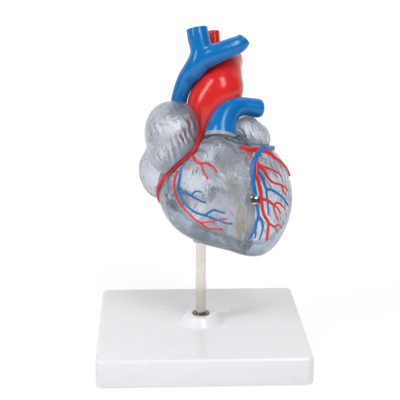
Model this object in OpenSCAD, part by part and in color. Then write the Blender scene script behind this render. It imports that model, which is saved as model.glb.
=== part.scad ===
// Two-part clear model of the human heart, with its vessels and conducting system, on a stand.
// Row frame: +Z up, origin at the middle of the stand's footprint, in millimetres.
// The heart itself is drawn in its own frame: x to the viewer's right, y away from the viewer,
// z up the heart, with its origin on the rod's axis. in_heart() leans that frame back on the rod.

/* [Stand] */
// Width of the square base plate
base_w = 120; // [100:1:160]
// Height of the base plate's top above the table
base_h = 16.5; // [14:0.5:24]
// Wall of the hollow base plate
base_wall = 3; // [2:0.5:4]
// Radius of the base plate's upright corners
base_corner = 4; // [2:0.5:10]
// Radius of the round along the base plate's top edge
base_round = 2; // [1:0.5:3]
// Radius of the boss at its top
boss_r = 9; // [8:0.5:12]
// Radius of the boss where it meets the base plate
boss_foot_r = 13.5; // [13:0.5:18]
// Height of the boss above the base plate
boss_h = 5; // [3:0.5:10]
// Radius of each rubber foot
foot_r = 6; // [4:0.5:8]
// Height of the feet that shows under the base plate
foot_h = 1; // [0.5:0.5:3]
// Distance from the base plate's side to a foot's middle
foot_inset = 14; // [10:1:20]
// Radius of the steel rod
rod_r = 3; // [2:0.5:4]
// Height of the rod's lower end above the table
rod_bottom = 4; // [3:0.5:6]
// Height of the rod's upper end above the table
rod_top = 74; // [72:1:76]

/* [Heart] */
// Height of the heart's middle above the table
heart_z = 100; // [98:1:102]
// How far the heart leans back on its rod, in degrees
lean = 15; // [12:1:17]
// Wall of the clear shells
wall = 2.4; // [2:0.1:3]
// Front bulge of the ventricles from their widest outline
front_depth = 27; // [25:1:29]
// Back bulge of the ventricles from their widest outline
back_depth = 27; // [25:1:29]
// Thickness of the wall between the ventricles
septum_t = 5; // [4:0.5:6]
// Radius of the right coronary artery, the thickest vessel on the surface
coronary_r = 1.3; // [1.1:0.1:1.5]

/* [Fits] */
// Gap all round the front wall that lifts off
lift_gap = 0.3; // [0.2:0.05:0.5]
// Radial running clearance of the rod in its bush and socket
run_gap = 0.05; // [0.02:0.01:0.1]
// Radial gap of glued and pressed-in pieces
glue_gap = 0.1; // [0.05:0.05:0.2]
// Radius of the magnets
magnet_r = 3.1; // [2.5:0.1:4]
// Thickness of each magnet
magnet_t = 2.5; // [2:0.25:3]
// Radius of the steel locating pins
pin_r = 0.6; // [0.4:0.1:0.7]
// Length of each locating pin
pin_l = 5; // [4:0.5:6]

/* [Hidden] */

blue = "dodgerblue";
red = "crimson";
clear = [0.85, 0.87, 0.92, 0.4];
steel = "silver";
yellow = "gold";
far = 200;

// ---------------------------------------------------------------- curves and lofted forms

function unit(v) = v / norm(v);
function xyz(p) = [p[0], p[1], p[2]];
function curve(a, b, c, d, t) =
    0.5 * (2 * b + (c - a) * t + (2 * a - 5 * b + 4 * c - d) * t * t + (3 * b - a - 3 * c + d) * t * t * t);

// A smooth line through the points p, with n steps from each to the next
function smooth(p, n = 2) = [
    for (i = [0:len(p) - 2], k = [0:n - 1])
        curve(p[max(i - 1, 0)], p[i], p[i + 1], p[min(i + 2, len(p) - 1)], k / n),
    p[len(p) - 1],
];

// The value at angle a of a closed, evenly spaced list v
function round_value(v, a) =
    let (n = len(v), s = (a % 360 + 360) % 360 / 360 * n, i = floor(s))
    curve(v[(i + n - 1) % n], v[i % n], v[(i + 1) % n], v[(i + 2) % n], s - i);

function tangent(p, i) = unit(xyz(p[min(i + 1, len(p) - 1)]) - xyz(p[max(i - 1, 0)]));
function across(v, t) = unit(v - t * (v * t));
function start_side(t) = abs(t[0]) < 0.8 ? [1, 0, 0] : [0, 0, 1];
function sides_of(p) = [
    for (
        i = 0, s = across(start_side(tangent(p, 0)), tangent(p, 0));
        i < len(p);
        i = i + 1, s = across(s, tangent(p, min(i, len(p) - 1)))
    ) s
];

// The faces that skin rings of n points each, with flat ends
function skin(rings, n) = [
    [for (j = [0:n - 1]) j],
    for (i = [0:rings - 2], j = [0:n - 1]) each [
        [i * n + j, (i + 1) * n + j, (i + 1) * n + (j + 1) % n],
        [i * n + j, (i + 1) * n + (j + 1) % n, i * n + (j + 1) % n],
    ],
    [for (j = [n - 1:-1:0]) (rings - 1) * n + j],
];

// n points round the middle c, square to the direction t, from the side s
function ring(c, t, s, r, n) = [
    for (j = [0:n - 1])
        let (a = j * 360 / n)
        c + r * (cos(a) * s + sin(a) * cross(t, s))
];
function rings_along(p, n) =
    let (s = sides_of(p))
    [for (i = [0:len(p) - 1]) ring(xyz(p[i]), tangent(p, i), s[i], p[i][3], n)];

// A tube along points [x, y, z, radius]
vessel_sides = 10;
great_sides = 12;
module tube(p, n = vessel_sides)
    polyhedron([for (r = rings_along(p, n)) each r], skin(len(p), n));

// A great vessel: a smooth tube whose far end has a chamfer, a lip and a mouth sunk like a cut vessel's
mouth_chamfer = 0.5;
mouth_lip = 1.6;
mouth_depth = 1.2;
module vessel(line, n = vessel_sides) {
    p = smooth(line);
    last = len(p) - 1;
    r = p[last][3];
    t = tangent(p, last);
    // Each is [distance back from the end, radius]
    mouth = [[mouth_chamfer, r], [0, r - mouth_chamfer], [0, r - mouth_lip], [mouth_depth, r - mouth_lip]];
    along = rings_along(p, n);
    rings = concat(
        [for (i = [0:last - 1]) along[i]],
        [for (m = mouth) ring(xyz(p[last]) - m[0] * t, t, sides_of(p)[last], m[1], n)]
    );
    polyhedron([for (q = rings) each q], skin(len(rings), n));
}

// A closed form like a cushion, skinned in rings from its front to its back:
// [middle, outline radii seen along y (anticlockwise from the viewer's right), front bulge, back bulge,
// lump on the front]. A lump is [x, z, height, spread].
function lump_at(form, x, z) =
    let (l = form[4])
    l[2] * exp(-(pow(x - l[0], 2) + pow(z - l[1], 2)) / pow(l[3], 2));
module cushion(form, inset = 0, sides = 0, rings_each = 0) {
    n = sides > 0 ? sides : inset > 0 ? 12 : 18;
    half_rings = rings_each > 0 ? rings_each : inset > 0 ? 3 : 4;
    rings = [for (k = [-half_rings + 0.5:1:half_rings - 0.5]) k * 90 / half_rings];
    points = [
        for (f = rings, j = [0:n - 1])
            let (
                a = -j * 360 / n,
                r = (round_value(form[1], a) - inset) * cos(f),
                x = form[0][0] + r * cos(a),
                z = form[0][2] + r * sin(a),
                bulge = ((f < 0 ? form[2] : form[3]) - inset) * sin(f)
            )
            [x, form[0][1] + bulge - (f < 0 ? lump_at(form, x, z) : 0), z]
    ];
    polyhedron(points, skin(len(rings), n));
}

// Depth of a form's surface at (x, z): side -1 is its front and 1 its back
function surface_y(form, x, z, side = -1) =
    let (
        dx = x - form[0][0],
        dz = z - form[0][2],
        share = min(1, norm([dx, dz]) / round_value(form[1], atan2(dz, dx))),
        bulge = (side < 0 ? form[2] : form[3]) * sqrt(1 - share * share)
    )
    form[0][1] + side * bulge - (side < 0 ? lump_at(form, x, z) : 0);

// A thin vessel over a form: points [x, z] become [x, y, z, radius] on its surface
function over(form, side, root_r, tip_r, p) = [
    for (i = [0:len(p) - 1])
        let (x = p[i][0], z = p[i][1], share = i / (len(p) - 1))
        [x, surface_y(form, x, z, side), z, root_r + (tip_r - root_r) * share],
];

// Booleans on lofted forms, taken together as one mesh
module as_mesh() resize([0, 0, 0]) children();

module in_heart() translate([0, 0, heart_z]) rotate([-lean, 0, 0]) children();
module turned(at, to) translate(at) rotate([0, acos(unit(to)[2]), atan2(to[1], to[0])]) children();

// ---------------------------------------------------------------- the heart's forms, in its own frame

// Places across the heart are given for ventricles that bulge this far, and follow their bulges
drawn_depth = 27;
function deep(y) = y * (y < 0 ? front_depth : back_depth) / drawn_depth;
function deepen(p) = [for (q = p) [q[0], deep(q[1]), for (k = [2:len(q) - 1]) q[k]]];

no_lump = [0, 0, 0, 1];
ventricles = [
    [14.4, 0, -4.5],
    [38, 37, 36, 34.5, 36, 39, 39, 36.5, 33, 33.5, 42, 40],
    front_depth, back_depth, [11, 24, 9, 11],
];
right_auricle = [
    [-16.5, deep(-8), 27], [15, 18, 20.5, 20.5, 19.5, 17, 15.5, 16, 20, 23, 19, 15.5], 17, 16, no_lump,
];
right_chamber = [
    [-16, deep(8), 12], [16, 18, 24, 32, 24, 18, 19.5, 21, 22, 18, 16, 16], 15, deep(18), no_lump,
];
left_auricle = [
    [29, deep(-4), 27], [11, 10, 9.5, 11.5, 12.5, 11, 8.8, 10, 11, 11, 12, 11.5], 12, deep(20), no_lump,
];
left_chamber = [
    [14, deep(21), 20.2], [22, 20, 17, 16, 17, 20, 22, 20, 17, 16, 17, 20], 11, deep(15), no_lump,
];

module ventricles_solid(inset = 0) cushion(ventricles, inset, inset > 0 ? 18 : 28, inset > 0 ? 4 : 6);

// The flat parting that the front wall lifts off: its y at (x, z) from the ventricles' middle
part_y = -9.5;
part_x_slope = 0.145;
part_z_slope = 0.29;
function parting_y(x, z) =
    part_y + part_x_slope * (x - ventricles[0][0]) + part_z_slope * (z - ventricles[0][2]);
module before_parting(gap = 0)
    multmatrix([
        [1, 0, 0, ventricles[0][0]],
        [part_x_slope, 1, part_z_slope, part_y + gap],
        [0, 0, 1, ventricles[0][2]],
    ])
        translate([-far / 2, -far, -far / 2]) cube(far);

// The front wall's upper edge seen along y, from the groove of the right coronary artery
// over the pulmonary trunk's foot to the left auricle, then far outside the heart
upper_edge = [
    [-60, -9], [-26, -9], [-24, -3], [-21.2, 0.2], [-17.8, 4.4], [-13.5, 8.6], [-8.2, 13.2], [-2.8, 18],
    [0.3, 24], [2.2, 26.9], [6, 26.9], [10, 26.1], [13, 25.1], [15.2, 23.7], [18, 22.7], [21, 21.8],
    [42, 21.8], [90, 21.8],
];
module lift_path(gap = 0)
    rotate([90, 0, 0])
        linear_extrude(height = far, center = true)
            offset(delta = gap) polygon([each upper_edge, [90, -90], [-60, -90]]);

module front_region(gap = 0)
    intersection() {
        before_parting(gap);
        lift_path(gap);
    }

// ---------------------------------------------------------------- stand

module base_blank() {
    side = base_w / 2 - base_corner;
    steps = 3;
    hull()
        for (x = [-side, side], y = [-side, side], k = [0:steps])
            let (a = k * 90 / steps)
            translate([x, y, foot_h])
                cylinder(
                    r = base_corner - base_round * (1 - cos(a)),
                    h = base_h - foot_h - base_round * (1 - sin(a)), $fn = 32
                );
}

// The base plate is hollow underneath, with a post under the boss, ribs and a pad over each foot
boss_wall = 3;
rib_t = 2;
foot_seat = 1;
module at_feet()
    for (a = [0:90:270]) rotate([0, 0, a])
        translate([base_w / 2 - foot_inset, base_w / 2 - foot_inset, 0]) children();
module base_hollow() {
    inner = base_w - 2 * base_wall;
    difference() {
        translate([-inner / 2, -inner / 2, 0]) cube([inner, inner, base_h - base_wall]);
        cylinder(r = bush_r + boss_wall, h = base_h, $fn = 64);
        for (a = [0:90:270]) rotate([0, 0, a])
            translate([0, -rib_t / 2, foot_h + base_wall]) cube([inner, rib_t, base_h]);
        at_feet() translate([0, 0, foot_h]) cylinder(r = foot_r + base_wall, h = base_h, $fn = 48);
    }
}
// A cone that flows out into the plate's top with a round
boss_round = 2.5;
module boss() {
    slope = atan2(boss_h, boss_foot_r - boss_r);
    foot = boss_foot_r + boss_round * tan(slope / 2);
    rotate_extrude($fn = 64)
        polygon([
            [0, boss_h], [0, -1], [foot, -1],
            for (k = [0:4]) [foot - boss_round * sin(slope * k / 4), boss_round * (1 - cos(slope * k / 4))],
            [boss_r, boss_h],
        ]);
}
module base_plate() color("white")
    difference() {
        union() {
            base_blank();
            translate([0, 0, base_h]) boss();
        }
        base_hollow();
        translate([0, 0, rod_bottom - run_gap]) cylinder(r = bush_r + glue_gap, h = base_h + boss_h, $fn = 48);
        at_feet() cylinder(r = foot_r + glue_gap, h = foot_h + foot_seat, $fn = 48);
    }

// Rubber discs, glued into shallow seats in the base plate
module rubber_feet() color("dimgray") at_feet() cylinder(r = foot_r, h = foot_h + foot_seat, $fn = 48);

// Steel sleeve pressed into the boss, with a flange round the rod's foot
bush_t = 0.9;
bush_r = rod_r + run_gap + bush_t;
flange_r = bush_r + 1.2;
flange_t = 0.8;
module base_bush() color(steel)
    difference() {
        union() {
            translate([0, 0, rod_bottom]) cylinder(r = bush_r, h = base_h + boss_h - rod_bottom, $fn = 48);
            translate([0, 0, base_h + boss_h]) cylinder(r = flange_r, h = flange_t, $fn = 48);
        }
        translate([0, 0, rod_bottom - 1]) cylinder(r = rod_r + run_gap, h = base_h + boss_h + 2, $fn = 48);
    }

rod_tip = 0.6;
module stand_rod() color(steel) {
    translate([0, 0, rod_bottom]) cylinder(r = rod_r, h = rod_top - rod_bottom - rod_tip, $fn = 48);
    translate([0, 0, rod_top - rod_tip]) cylinder(r1 = rod_r, r2 = rod_r - rod_tip, h = rod_tip, $fn = 48);
}

// Clear sleeve in the shell's underside that drops over the rod
socket_t = 1.6;
socket_r = rod_r + run_gap + socket_t;
// Its mouth stands out under the shell, below the rod's end, and its top reaches into the shell
socket_mouth = min(rod_top - 8, heart_z - 34);
socket_top = max(rod_top + socket_t, heart_z - 24.4);
module rod_socket() color(clear)
    difference() {
        translate([0, 0, socket_mouth]) cylinder(r = socket_r, h = socket_top - socket_mouth, $fn = 48);
        translate([0, 0, socket_mouth - 1]) cylinder(r = rod_r + run_gap, h = rod_top - socket_mouth + 1, $fn = 48);
    }
module socket_hole() translate([0, 0, socket_mouth - 5]) cylinder(r = socket_r + glue_gap, h = 40, $fn = 32);

// ---------------------------------------------------------------- valves between chambers and vessels

// Each is [middle, direction of flow, outer radius]
tricuspid = [[-19, deep(3), 15], [0.85, 0, -0.53], 8.5];
mitral = [[21, deep(18.3), 21], [-0.1, -0.66, -0.74], 7.5];
aortic = [[2, 0, 29], [0, 0, 1], 6];
pulmonic = [[11.1, deep(-11.7), 29], [0.13, 0.27, 0.95], 6];
ring_t = 1.2;
ring_h = 4;
leaf_t = 0.6;
module valve_hole(v, gap = glue_gap)
    turned(v[0], v[1]) cylinder(r = v[2] + gap, h = 3 * ring_h, center = true, $fn = 24);

// What the front wall leaves clear, so that it slides off past the pulmonary valve
module pulmonary_way()
    hull() for (y = [0, 12]) translate([0, y, 0]) valve_hole(pulmonic, lift_gap);

// A ring, and leaves that lean together in the flow
module valve(v, leaves, length, slit = 12) turned(v[0], v[1]) {
    bore = v[2] - ring_t;
    edge = v[2] * 0.35;
    rotate_extrude($fn = 64) translate([bore, -ring_h / 2]) square([ring_t, ring_h]);
    for (k = [0:leaves - 1]) rotate([0, 0, k * 360 / leaves + slit / 2])
        rotate_extrude(angle = 360 / leaves - slit, $fn = 64)
            polygon([
                [bore + ring_t / 2, ring_h / 2 - leaf_t], [bore + ring_t / 2, ring_h / 2],
                [bore, ring_h / 2 + leaf_t], [edge, ring_h / 2 + length],
                [edge, ring_h / 2 + length - 2 * leaf_t], [bore - leaf_t, ring_h / 2 - leaf_t],
            ]);
}
module tricuspid_valve() color(clear) in_heart() valve(tricuspid, 3, 8);
module mitral_valve() color(clear) in_heart() valve(mitral, 2, 8);
module aortic_valve() color(clear) in_heart() valve(aortic, 3, 3, 6);
module pulmonary_valve() color(clear) in_heart() valve(pulmonic, 3, 3, 6);

// ---------------------------------------------------------------- clear shells of the ventricles

module ventricle_shell() color(clear) as_mesh()
    difference() {
        in_heart() difference() {
            union() {
                difference() {
                    ventricles_solid();
                    ventricles_solid(wall);
                }
                pin_bosses();
            }
            front_region(lift_gap / 2);
            for (v = [tricuspid, mitral, aortic, pulmonic]) valve_hole(v);
            for (a = pin_angles) locating_pin(a, glue_gap);
        }
        socket_hole();
    }

module front_wall() color(clear) as_mesh() in_heart()
    intersection() {
        difference() {
            union() {
                difference() {
                    ventricles_solid();
                    ventricles_solid(wall);
                }
                pin_bosses();
                intersection() {
                    ventricles_solid();
                    magnet_seat(front_magnet_y - 1, magnet_t + 1, magnet_r + magnet_rim);
                }
            }
            magnet_seat(front_magnet_y, magnet_t + 1, magnet_r + glue_gap);
            for (a = pin_angles) locating_pin(a, lift_gap);
            pulmonary_way();
        }
        front_region(-lift_gap / 2);
    }

// The wall between the ventricles curves from the front groove to the back, seen from above
function septum_x(y) = 27.5 - 0.0075 * pow(y + 30, 2);
module septum_band(extra = 0)
    translate([0, 0, -60])
        linear_extrude(height = 100)
            polygon([
                for (y = [-34:4:30]) [septum_x(y) - septum_t / 2 - extra, y],
                for (y = [30:-4:-34]) [septum_x(y) + septum_t / 2 + extra, y],
            ]);

module septum() color(clear) as_mesh()
    difference() {
        in_heart() difference() {
            intersection() {
                ventricles_solid(wall);
                union() {
                    septum_band();
                    magnet_seat(septum_magnet_y - 1, magnet_t + 3, magnet_r + magnet_rim);
                }
            }
            // Room for the magnet, and for the front magnet's seat on its way out
            magnet_seat(septum_magnet_y - lift_gap, magnet_t + lift_gap, magnet_r + glue_gap);
            magnet_seat(-far, far + septum_magnet_y, magnet_r + magnet_rim + lift_gap);
            difference() {
                front_region(lift_gap);
                ventricles_solid(wall + lift_gap);
            }
            for (v = [aortic, mitral]) valve_hole(v);
        }
        socket_hole();
    }

// ---------------------------------------------------------------- magnets and locating pins

magnet_at = [30.2, -9.6];
magnet_rim = 1.2;
magnet_skin = 0.8;
front_magnet_y = surface_y(ventricles, magnet_at[0] + 3, magnet_at[1] - 3) + magnet_skin;
septum_magnet_y = front_magnet_y + magnet_t + lift_gap;
module magnet_seat(y, t, r)
    translate([magnet_at[0], y, magnet_at[1]]) rotate([-90, 0, 0]) cylinder(r = r, h = t, $fn = 32);
module front_magnet() color(steel) in_heart() magnet_seat(front_magnet_y, magnet_t, magnet_r);
module septum_magnet() color(steel) in_heart() magnet_seat(septum_magnet_y, magnet_t, magnet_r);

// Pins cross the parting at these angles round the ventricles, in bosses inside the wall
pin_angles = [183, 262, 352];
pin_inset = 2.6;
function rim_point(a, r) = ventricles[0] + [r * cos(a), 0, r * sin(a)];
function rim_radius(a, low = 5, high = 45, steps = 16) =
    let (r = (low + high) / 2, p = rim_point(a, r))
    steps == 0 ? r :
    surface_y(ventricles, p[0], p[2]) < parting_y(p[0], p[2]) ?
        rim_radius(a, r, high, steps - 1) : rim_radius(a, low, r, steps - 1);
module at_pin(a) {
    p = rim_point(a, rim_radius(a) - pin_inset);
    translate([p[0], parting_y(p[0], p[2]), p[2]]) rotate([90, 0, 0]) children();
}
module locating_pin(a, gap = 0)
    at_pin(a) cylinder(r = pin_r + gap, h = pin_l + 2 * gap, center = true, $fn = 16);
module pin_bosses()
    intersection() {
        ventricles_solid();
        for (a = pin_angles)
            at_pin(a) cylinder(r = pin_r + 2, h = pin_l + 2 * pin_r + 2, center = true, $fn = 12);
    }
module locating_pins() color(steel) in_heart() for (a = pin_angles) locating_pin(a);

// ---------------------------------------------------------------- great vessels: points [x, y, z, radius]

cava_line = deepen([
    [-13, 3, 43, 4.7], [-11.7, 1.5, 50, 4.8], [-10, -0.5, 55.3, 5], [-7.1, -3, 61, 5.6],
    [-3.7, -6, 65, 6.3], [-0.7, -8, 69.5, 6.6], [0.6, -9, 75.5, 6.2], [-0.8, -9, 83, 6.4], [-1.8, -9, 88.7, 6.1],
]);
left_brachial_line = deepen([
    [-1, -8, 69.5, 5.8], [4.6, -10, 71.8, 6], [9, -11, 73.8, 5.9], [17.8, -11, 77.2, 5.5],
    [21.3, -10.7, 78.7, 5.2], [23.4, -10.3, 80.2, 4.7], [25.1, -10, 82.1, 4.1],
]);
lower_cava_line = deepen([[-17, 14, 4, 6], [-16, 18, -3, 6.2], [-15, 21.5, -9, 6.3], [-14.5, 24, -14, 6.3]]);
aorta_line = deepen([
    [2, 0, 26, 8.6], [2.2, 0, 32, 9.2], [2.8, -0.5, 39, 10.6], [5.2, -1, 47, 12.4], [11.3, 0, 55, 13.8],
    [13.6, 2.5, 62.5, 11.1], [14.2, 6, 68.5, 10.1], [15.2, 12, 72, 10.6], [16, 19.5, 71, 9.4], [17.2, 25.5, 64, 8.7],
    [17.4, 28, 55, 8.2], [17.2, 28.5, 45, 7.8],
]);
arch_branches = [
    deepen([[9, 5, 72, 3.9], [8.7, 5, 80, 3.7], [8.4, 5, 89, 3.5]]),
    deepen([[15.5, 12, 76, 3], [15.3, 12.5, 80, 2.8], [15, 13, 84, 2.7]]),
    deepen([[18, 19, 74, 3.2], [20, 20.5, 79, 3], [21.5, 21.5, 84, 2.9]]),
];
trunk_line = deepen([
    [10.7, -12.6, 25.5, 9.2], [11.1, -11.7, 29, 9.1], [11.8, -10.7, 32.6, 8.6], [12.9, -9.7, 36, 8],
    [15, -8.2, 40, 7.4], [18.8, -6.6, 43.1, 6.7], [23.7, -5, 44.2, 5.6], [28.8, -4, 44, 5.3],
    [31.8, -3, 43.4, 5.7], [34.2, -2.7, 43.3, 5.5], [36, -2.5, 43.2, 4.4], [36.9, -2.4, 43.1, 2.2],
]);
right_pulmonary_line =
    deepen([[21, -5, 43.5, 5], [19, 6, 44, 5], [12, 14, 44, 5], [3, 16.5, 44, 5], [-7, 18, 43, 4.8]]);
vein_lines = [
    deepen([[2, 26, 26, 3], [-6, 29, 28, 3.4], [-13, 31, 29, 3.4]]),
    deepen([[2, 27, 14, 3], [-6, 30.5, 13.5, 3.4], [-12, 33, 13, 3.4]]),
    deepen([[25, 25, 25, 3], [30, 29, 26, 3.4], [34, 33, 26.5, 3.4]]),
    deepen([[25, 26, 14, 3], [30, 30.5, 14, 3.4], [33, 35, 14, 3.4]]),
];

// The pulmonary trunk is cut square to its line here: clear below, blue above
module trunk_foot() turned(pulmonic[0], pulmonic[1]) translate([0, 0, -far]) cylinder(r = 25, h = far, $fn = 8);

module atria_solid() {
    cushion(right_auricle);
    cushion(right_chamber);
    cushion(left_auricle);
    cushion(left_chamber);
}

module vena_cava_superior() color(blue) as_mesh() in_heart()
    difference() {
        union() {
            vessel(cava_line);
            vessel(left_brachial_line);
        }
        cushion(right_auricle);
        cushion(right_chamber);
    }

module vena_cava_inferior() color(blue) as_mesh() in_heart()
    difference() {
        vessel(lower_cava_line);
        cushion(right_chamber);
        ventricles_solid();
    }

module pulmonary_trunk() color(blue) as_mesh() in_heart()
    difference() {
        union() {
            tube(smooth(trunk_line), great_sides);
            vessel(right_pulmonary_line);
        }
        trunk_foot();
        valve_hole(pulmonic);
        valve_hole(aortic);
        ventricles_solid();
        cushion(right_auricle);
        cushion(left_auricle);
    }

// Clear foot of the trunk, above the front wall's edge
module trunk_collar() color(clear) as_mesh() in_heart()
    difference() {
        intersection() {
            tube(smooth(trunk_line), great_sides);
            trunk_foot();
        }
        valve_hole(pulmonic);
        ventricles_solid();
        lift_path(lift_gap);
        tube(smooth(aorta_line), great_sides);
        cushion(left_auricle);
    }

module aorta() color(red) as_mesh() in_heart()
    difference() {
        union() {
            vessel(aorta_line, great_sides);
            for (b = arch_branches) vessel(b, 10);
        }
        ventricles_solid();
        valve_hole(aortic);
        cushion(right_auricle);
        cushion(right_chamber);
        tube(smooth(cava_line));
        tube(smooth(left_brachial_line));
        tube(smooth(trunk_line), great_sides);
        tube(smooth(right_pulmonary_line));
    }

module pulmonary_veins() color(red) as_mesh() in_heart()
    difference() {
        for (v = vein_lines) vessel(v, 9);
        cushion(left_chamber);
        cushion(right_chamber);
        cushion(left_auricle);
    }

// ---------------------------------------------------------------- clear shells of the atria

module before_middle() translate([-far / 2, -far, -far / 2]) cube(far);

module right_atrium() color(clear) as_mesh() in_heart()
    difference() {
        union() {
            cushion(right_auricle);
            cushion(right_chamber);
        }
        cushion(right_auricle, wall);
        cushion(right_chamber, wall);
        // The right coronary artery lies in the gap that this leaves beside the front wall
        intersection() {
            lift_path(2 * coronary_r + lift_gap);
            before_middle();
        }
        tube(right_coronary_line, 6);
        ventricles_solid();
        valve_hole(tricuspid);
        valve_hole(aortic);
    }

module left_atrium() color(clear) as_mesh() in_heart()
    difference() {
        union() {
            cushion(left_auricle);
            cushion(left_chamber);
        }
        cushion(left_auricle, wall);
        cushion(left_chamber, wall);
        cushion(right_chamber);
        intersection() {
            lift_path(lift_gap);
            before_middle();
        }
        ventricles_solid();
        valve_hole(mitral);
        tube(smooth(aorta_line), great_sides);
    }

// ---------------------------------------------------------------- muscles that hold the valves

// Each is [foot on the wall, tip, the valve leaf's edge that its cords reach]
muscles = [
    deepen([[-13, 0, -24], [-6, 1, -10], [-12, 2, 6]]),
    deepen([[7, -8, -33], [4, -5, -18], [-8, 4, 4]]),
    deepen([[44, 6, -20], [34, 8, -6], [23, 12, 12]]),
    deepen([[28, 18, -28], [25, 14, -10], [18, 10, 12]]),
];
cord_r = 0.5;
module papillary_muscles() color(clear) as_mesh() in_heart()
    difference() {
        union() {
            intersection() {
                ventricles_solid(wall);
                for (m = muscles)
                    turned(m[0], m[1] - m[0]) cylinder(r1 = 3.6, r2 = 1.4, h = norm(m[1] - m[0]), $fn = 10);
            }
            for (m = muscles, side = [-2, 2])
                tube([[each m[1] - unit(m[1] - m[0]), cord_r], [each m[2] + [side, 0, 0], cord_r]], 5);
        }
        septum_band(glue_gap);
        valve_hole(tricuspid);
        valve_hole(mitral);
    }

// ---------------------------------------------------------------- conducting system

sinus_at = [-20, surface_y(right_chamber, -20, 28, 1), 28];
tract_lines = [
    [[-21, 27.5], [-25, 23], [-26, 16], [-21, 8]],
    [[-19, 27.5], [-18, 23], [-17, 15], [-15, 7]],
];
module sinus_node() color(yellow) as_mesh() in_heart()
    difference() {
        union() {
            translate(sinus_at) scale([1, 0.8, 1.6]) sphere(r = 2.6, $fn = 12);
            for (t = tract_lines) tube(over(right_chamber, 1, 0.7, 0.7, smooth(t)), 5);
        }
        cushion(right_auricle);
        cushion(right_chamber);
    }

// A line on one face of the septum: points [y, z], side -1 for the right ventricle's face
function on_septum(side, r, p) = [
    for (q = p)
        let (y = deep(q[0]))
        [septum_x(y) + side * septum_t / 2, y, q[1], r]
];
module septum_lines(side, r, lines)
    intersection() {
        difference() {
            for (line = lines) tube(on_septum(side, r, smooth(line)), 5);
            septum_band();
        }
        ventricles_solid(wall);
    }
module av_bundle() color(yellow) as_mesh() in_heart() {
    septum_lines(-1, 1.8, [[[13, 16], [11, 14]]]);
    septum_lines(-1, 0.9, [[[11.5, 14.5], [8, 10], [5, 6]]]);
}
module right_bundle_branch() color(yellow) as_mesh() in_heart()
    septum_lines(-1, 0.7, [
        [[4.6, 5.5], [0, -2], [-6, -12], [-9, -24], [-6, -33]],
        [[-6, -12], [-13, -18], [-17, -26]],
        [[-8, -20], [-1, -27]],
    ]);
module left_bundle_branch() color(yellow) as_mesh() in_heart()
    septum_lines(1, 0.7, [
        [[7, 9], [2, 1], [-3, -10], [-5, -24], [-3, -35]],
        [[2, 1], [10, -8], [15, -18], [13, -28]],
        [[-3, -10], [-12, -16], [-15, -26]],
        [[13, -14], [19, -17]],
    ]);

// ---------------------------------------------------------------- vessels on the surface: points [x, z]

module on_ventricles(side, lines)
    for (line = lines) tube(over(ventricles, side, line[0], line[1], line[2]), line[0] < 0.95 ? 4 : 5);

// Each is [radius at the root, radius at the tip, points]
right_coronary_front = [
    [-1.1, 25.5], [-4.1, 19.3], [-9.4, 14.5], [-14.7, 9.9], [-19, 5.7], [-22.6, 1.5], [-24.4, -2.7],
];
right_coronary_back = [[-23.5, -9], [-18, -13.5], [-10, -13], [-4, -9.5]];
marginal_lines = [
    [0.8, 0.6, [[-13.6, 7.2], [-15.4, 2], [-15.2, -4], [-13.9, -8.2], [-11.5, -12.3], [-7.9, -16.2], [-4.5, -19.5],
        [-0.9, -22], [1.9, -24.1], [5, -25.2], [11, -25.4]]],
    [0.6, 0.45, [[-1.6, -21.6], [2.6, -21.5], [6.4, -20.7], [10.3, -20], [13.5, -19.6]]],
    [0.9, 0.6, [[-5.2, 15.6], [-3.6, 13], [-0.7, 11.3], [2.1, 11.6], [5.3, 9.4], [8, 6.7]]],
    [0.6, 0.5, [[-0.7, 10.8], [1, 6.1], [3, 2.6]]],
];
left_coronary_lines = [
    [1, 1.5, [[21.5, 20.2], [25.9, 19.2], [31.3, 19]]],
    [0.7, 0.5, [[25, 18.6], [26.5, 15.6], [26.8, 12.8]]],
    [1.5, 0.8, [[31.3, 19], [36.2, 18], [39.1, 16.5], [41.9, 14.2], [45.5, 11.9], [49.1, 8], [51.6, 3.2]]],
    [1.2, 0.8, [[31.3, 19], [30.3, 11], [30.1, 5.3], [31.2, 0.6], [32.3, -4.8], [32.8, -10.4], [33.5, -15],
        [34.8, -18.6], [36.9, -22.2], [36.6, -26.9], [36.4, -31.5]]],
    [0.7, 0.5, [[36.9, -22.2], [40.3, -24.2], [42.9, -23.5], [45.3, -25]]],
    [0.5, 0.4, [[40.3, -24.2], [41.7, -25.9], [42.6, -27.6]]],
    [0.9, 0.5, [[32.8, -8.8], [36.4, -9.6], [39.7, -12], [42.2, -10.9], [44.9, -12.5], [46.7, -14.5]]],
    [0.6, 0.5, [[39.7, -12], [42.6, -14.4], [44, -16.8]]],
    [0.6, 0.5, [[39.7, -12], [40.5, -15.9], [42.8, -20.7]]],
    [0.9, 0.6, [[30.6, 10], [34.3, 7.3], [36.6, 3.3], [39.4, 0.6], [44.6, -1], [47.2, -2.5], [48.5, -4.1]]],
    [0.6, 0.5, [[44.6, -1], [45.8, -4.1], [47.6, -6.9]]],
    [0.8, 0.5, [[31, 11], [33.8, 9.4], [37.6, 8.1], [41.8, 6.5], [45.2, 3.8]]],
];
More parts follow.
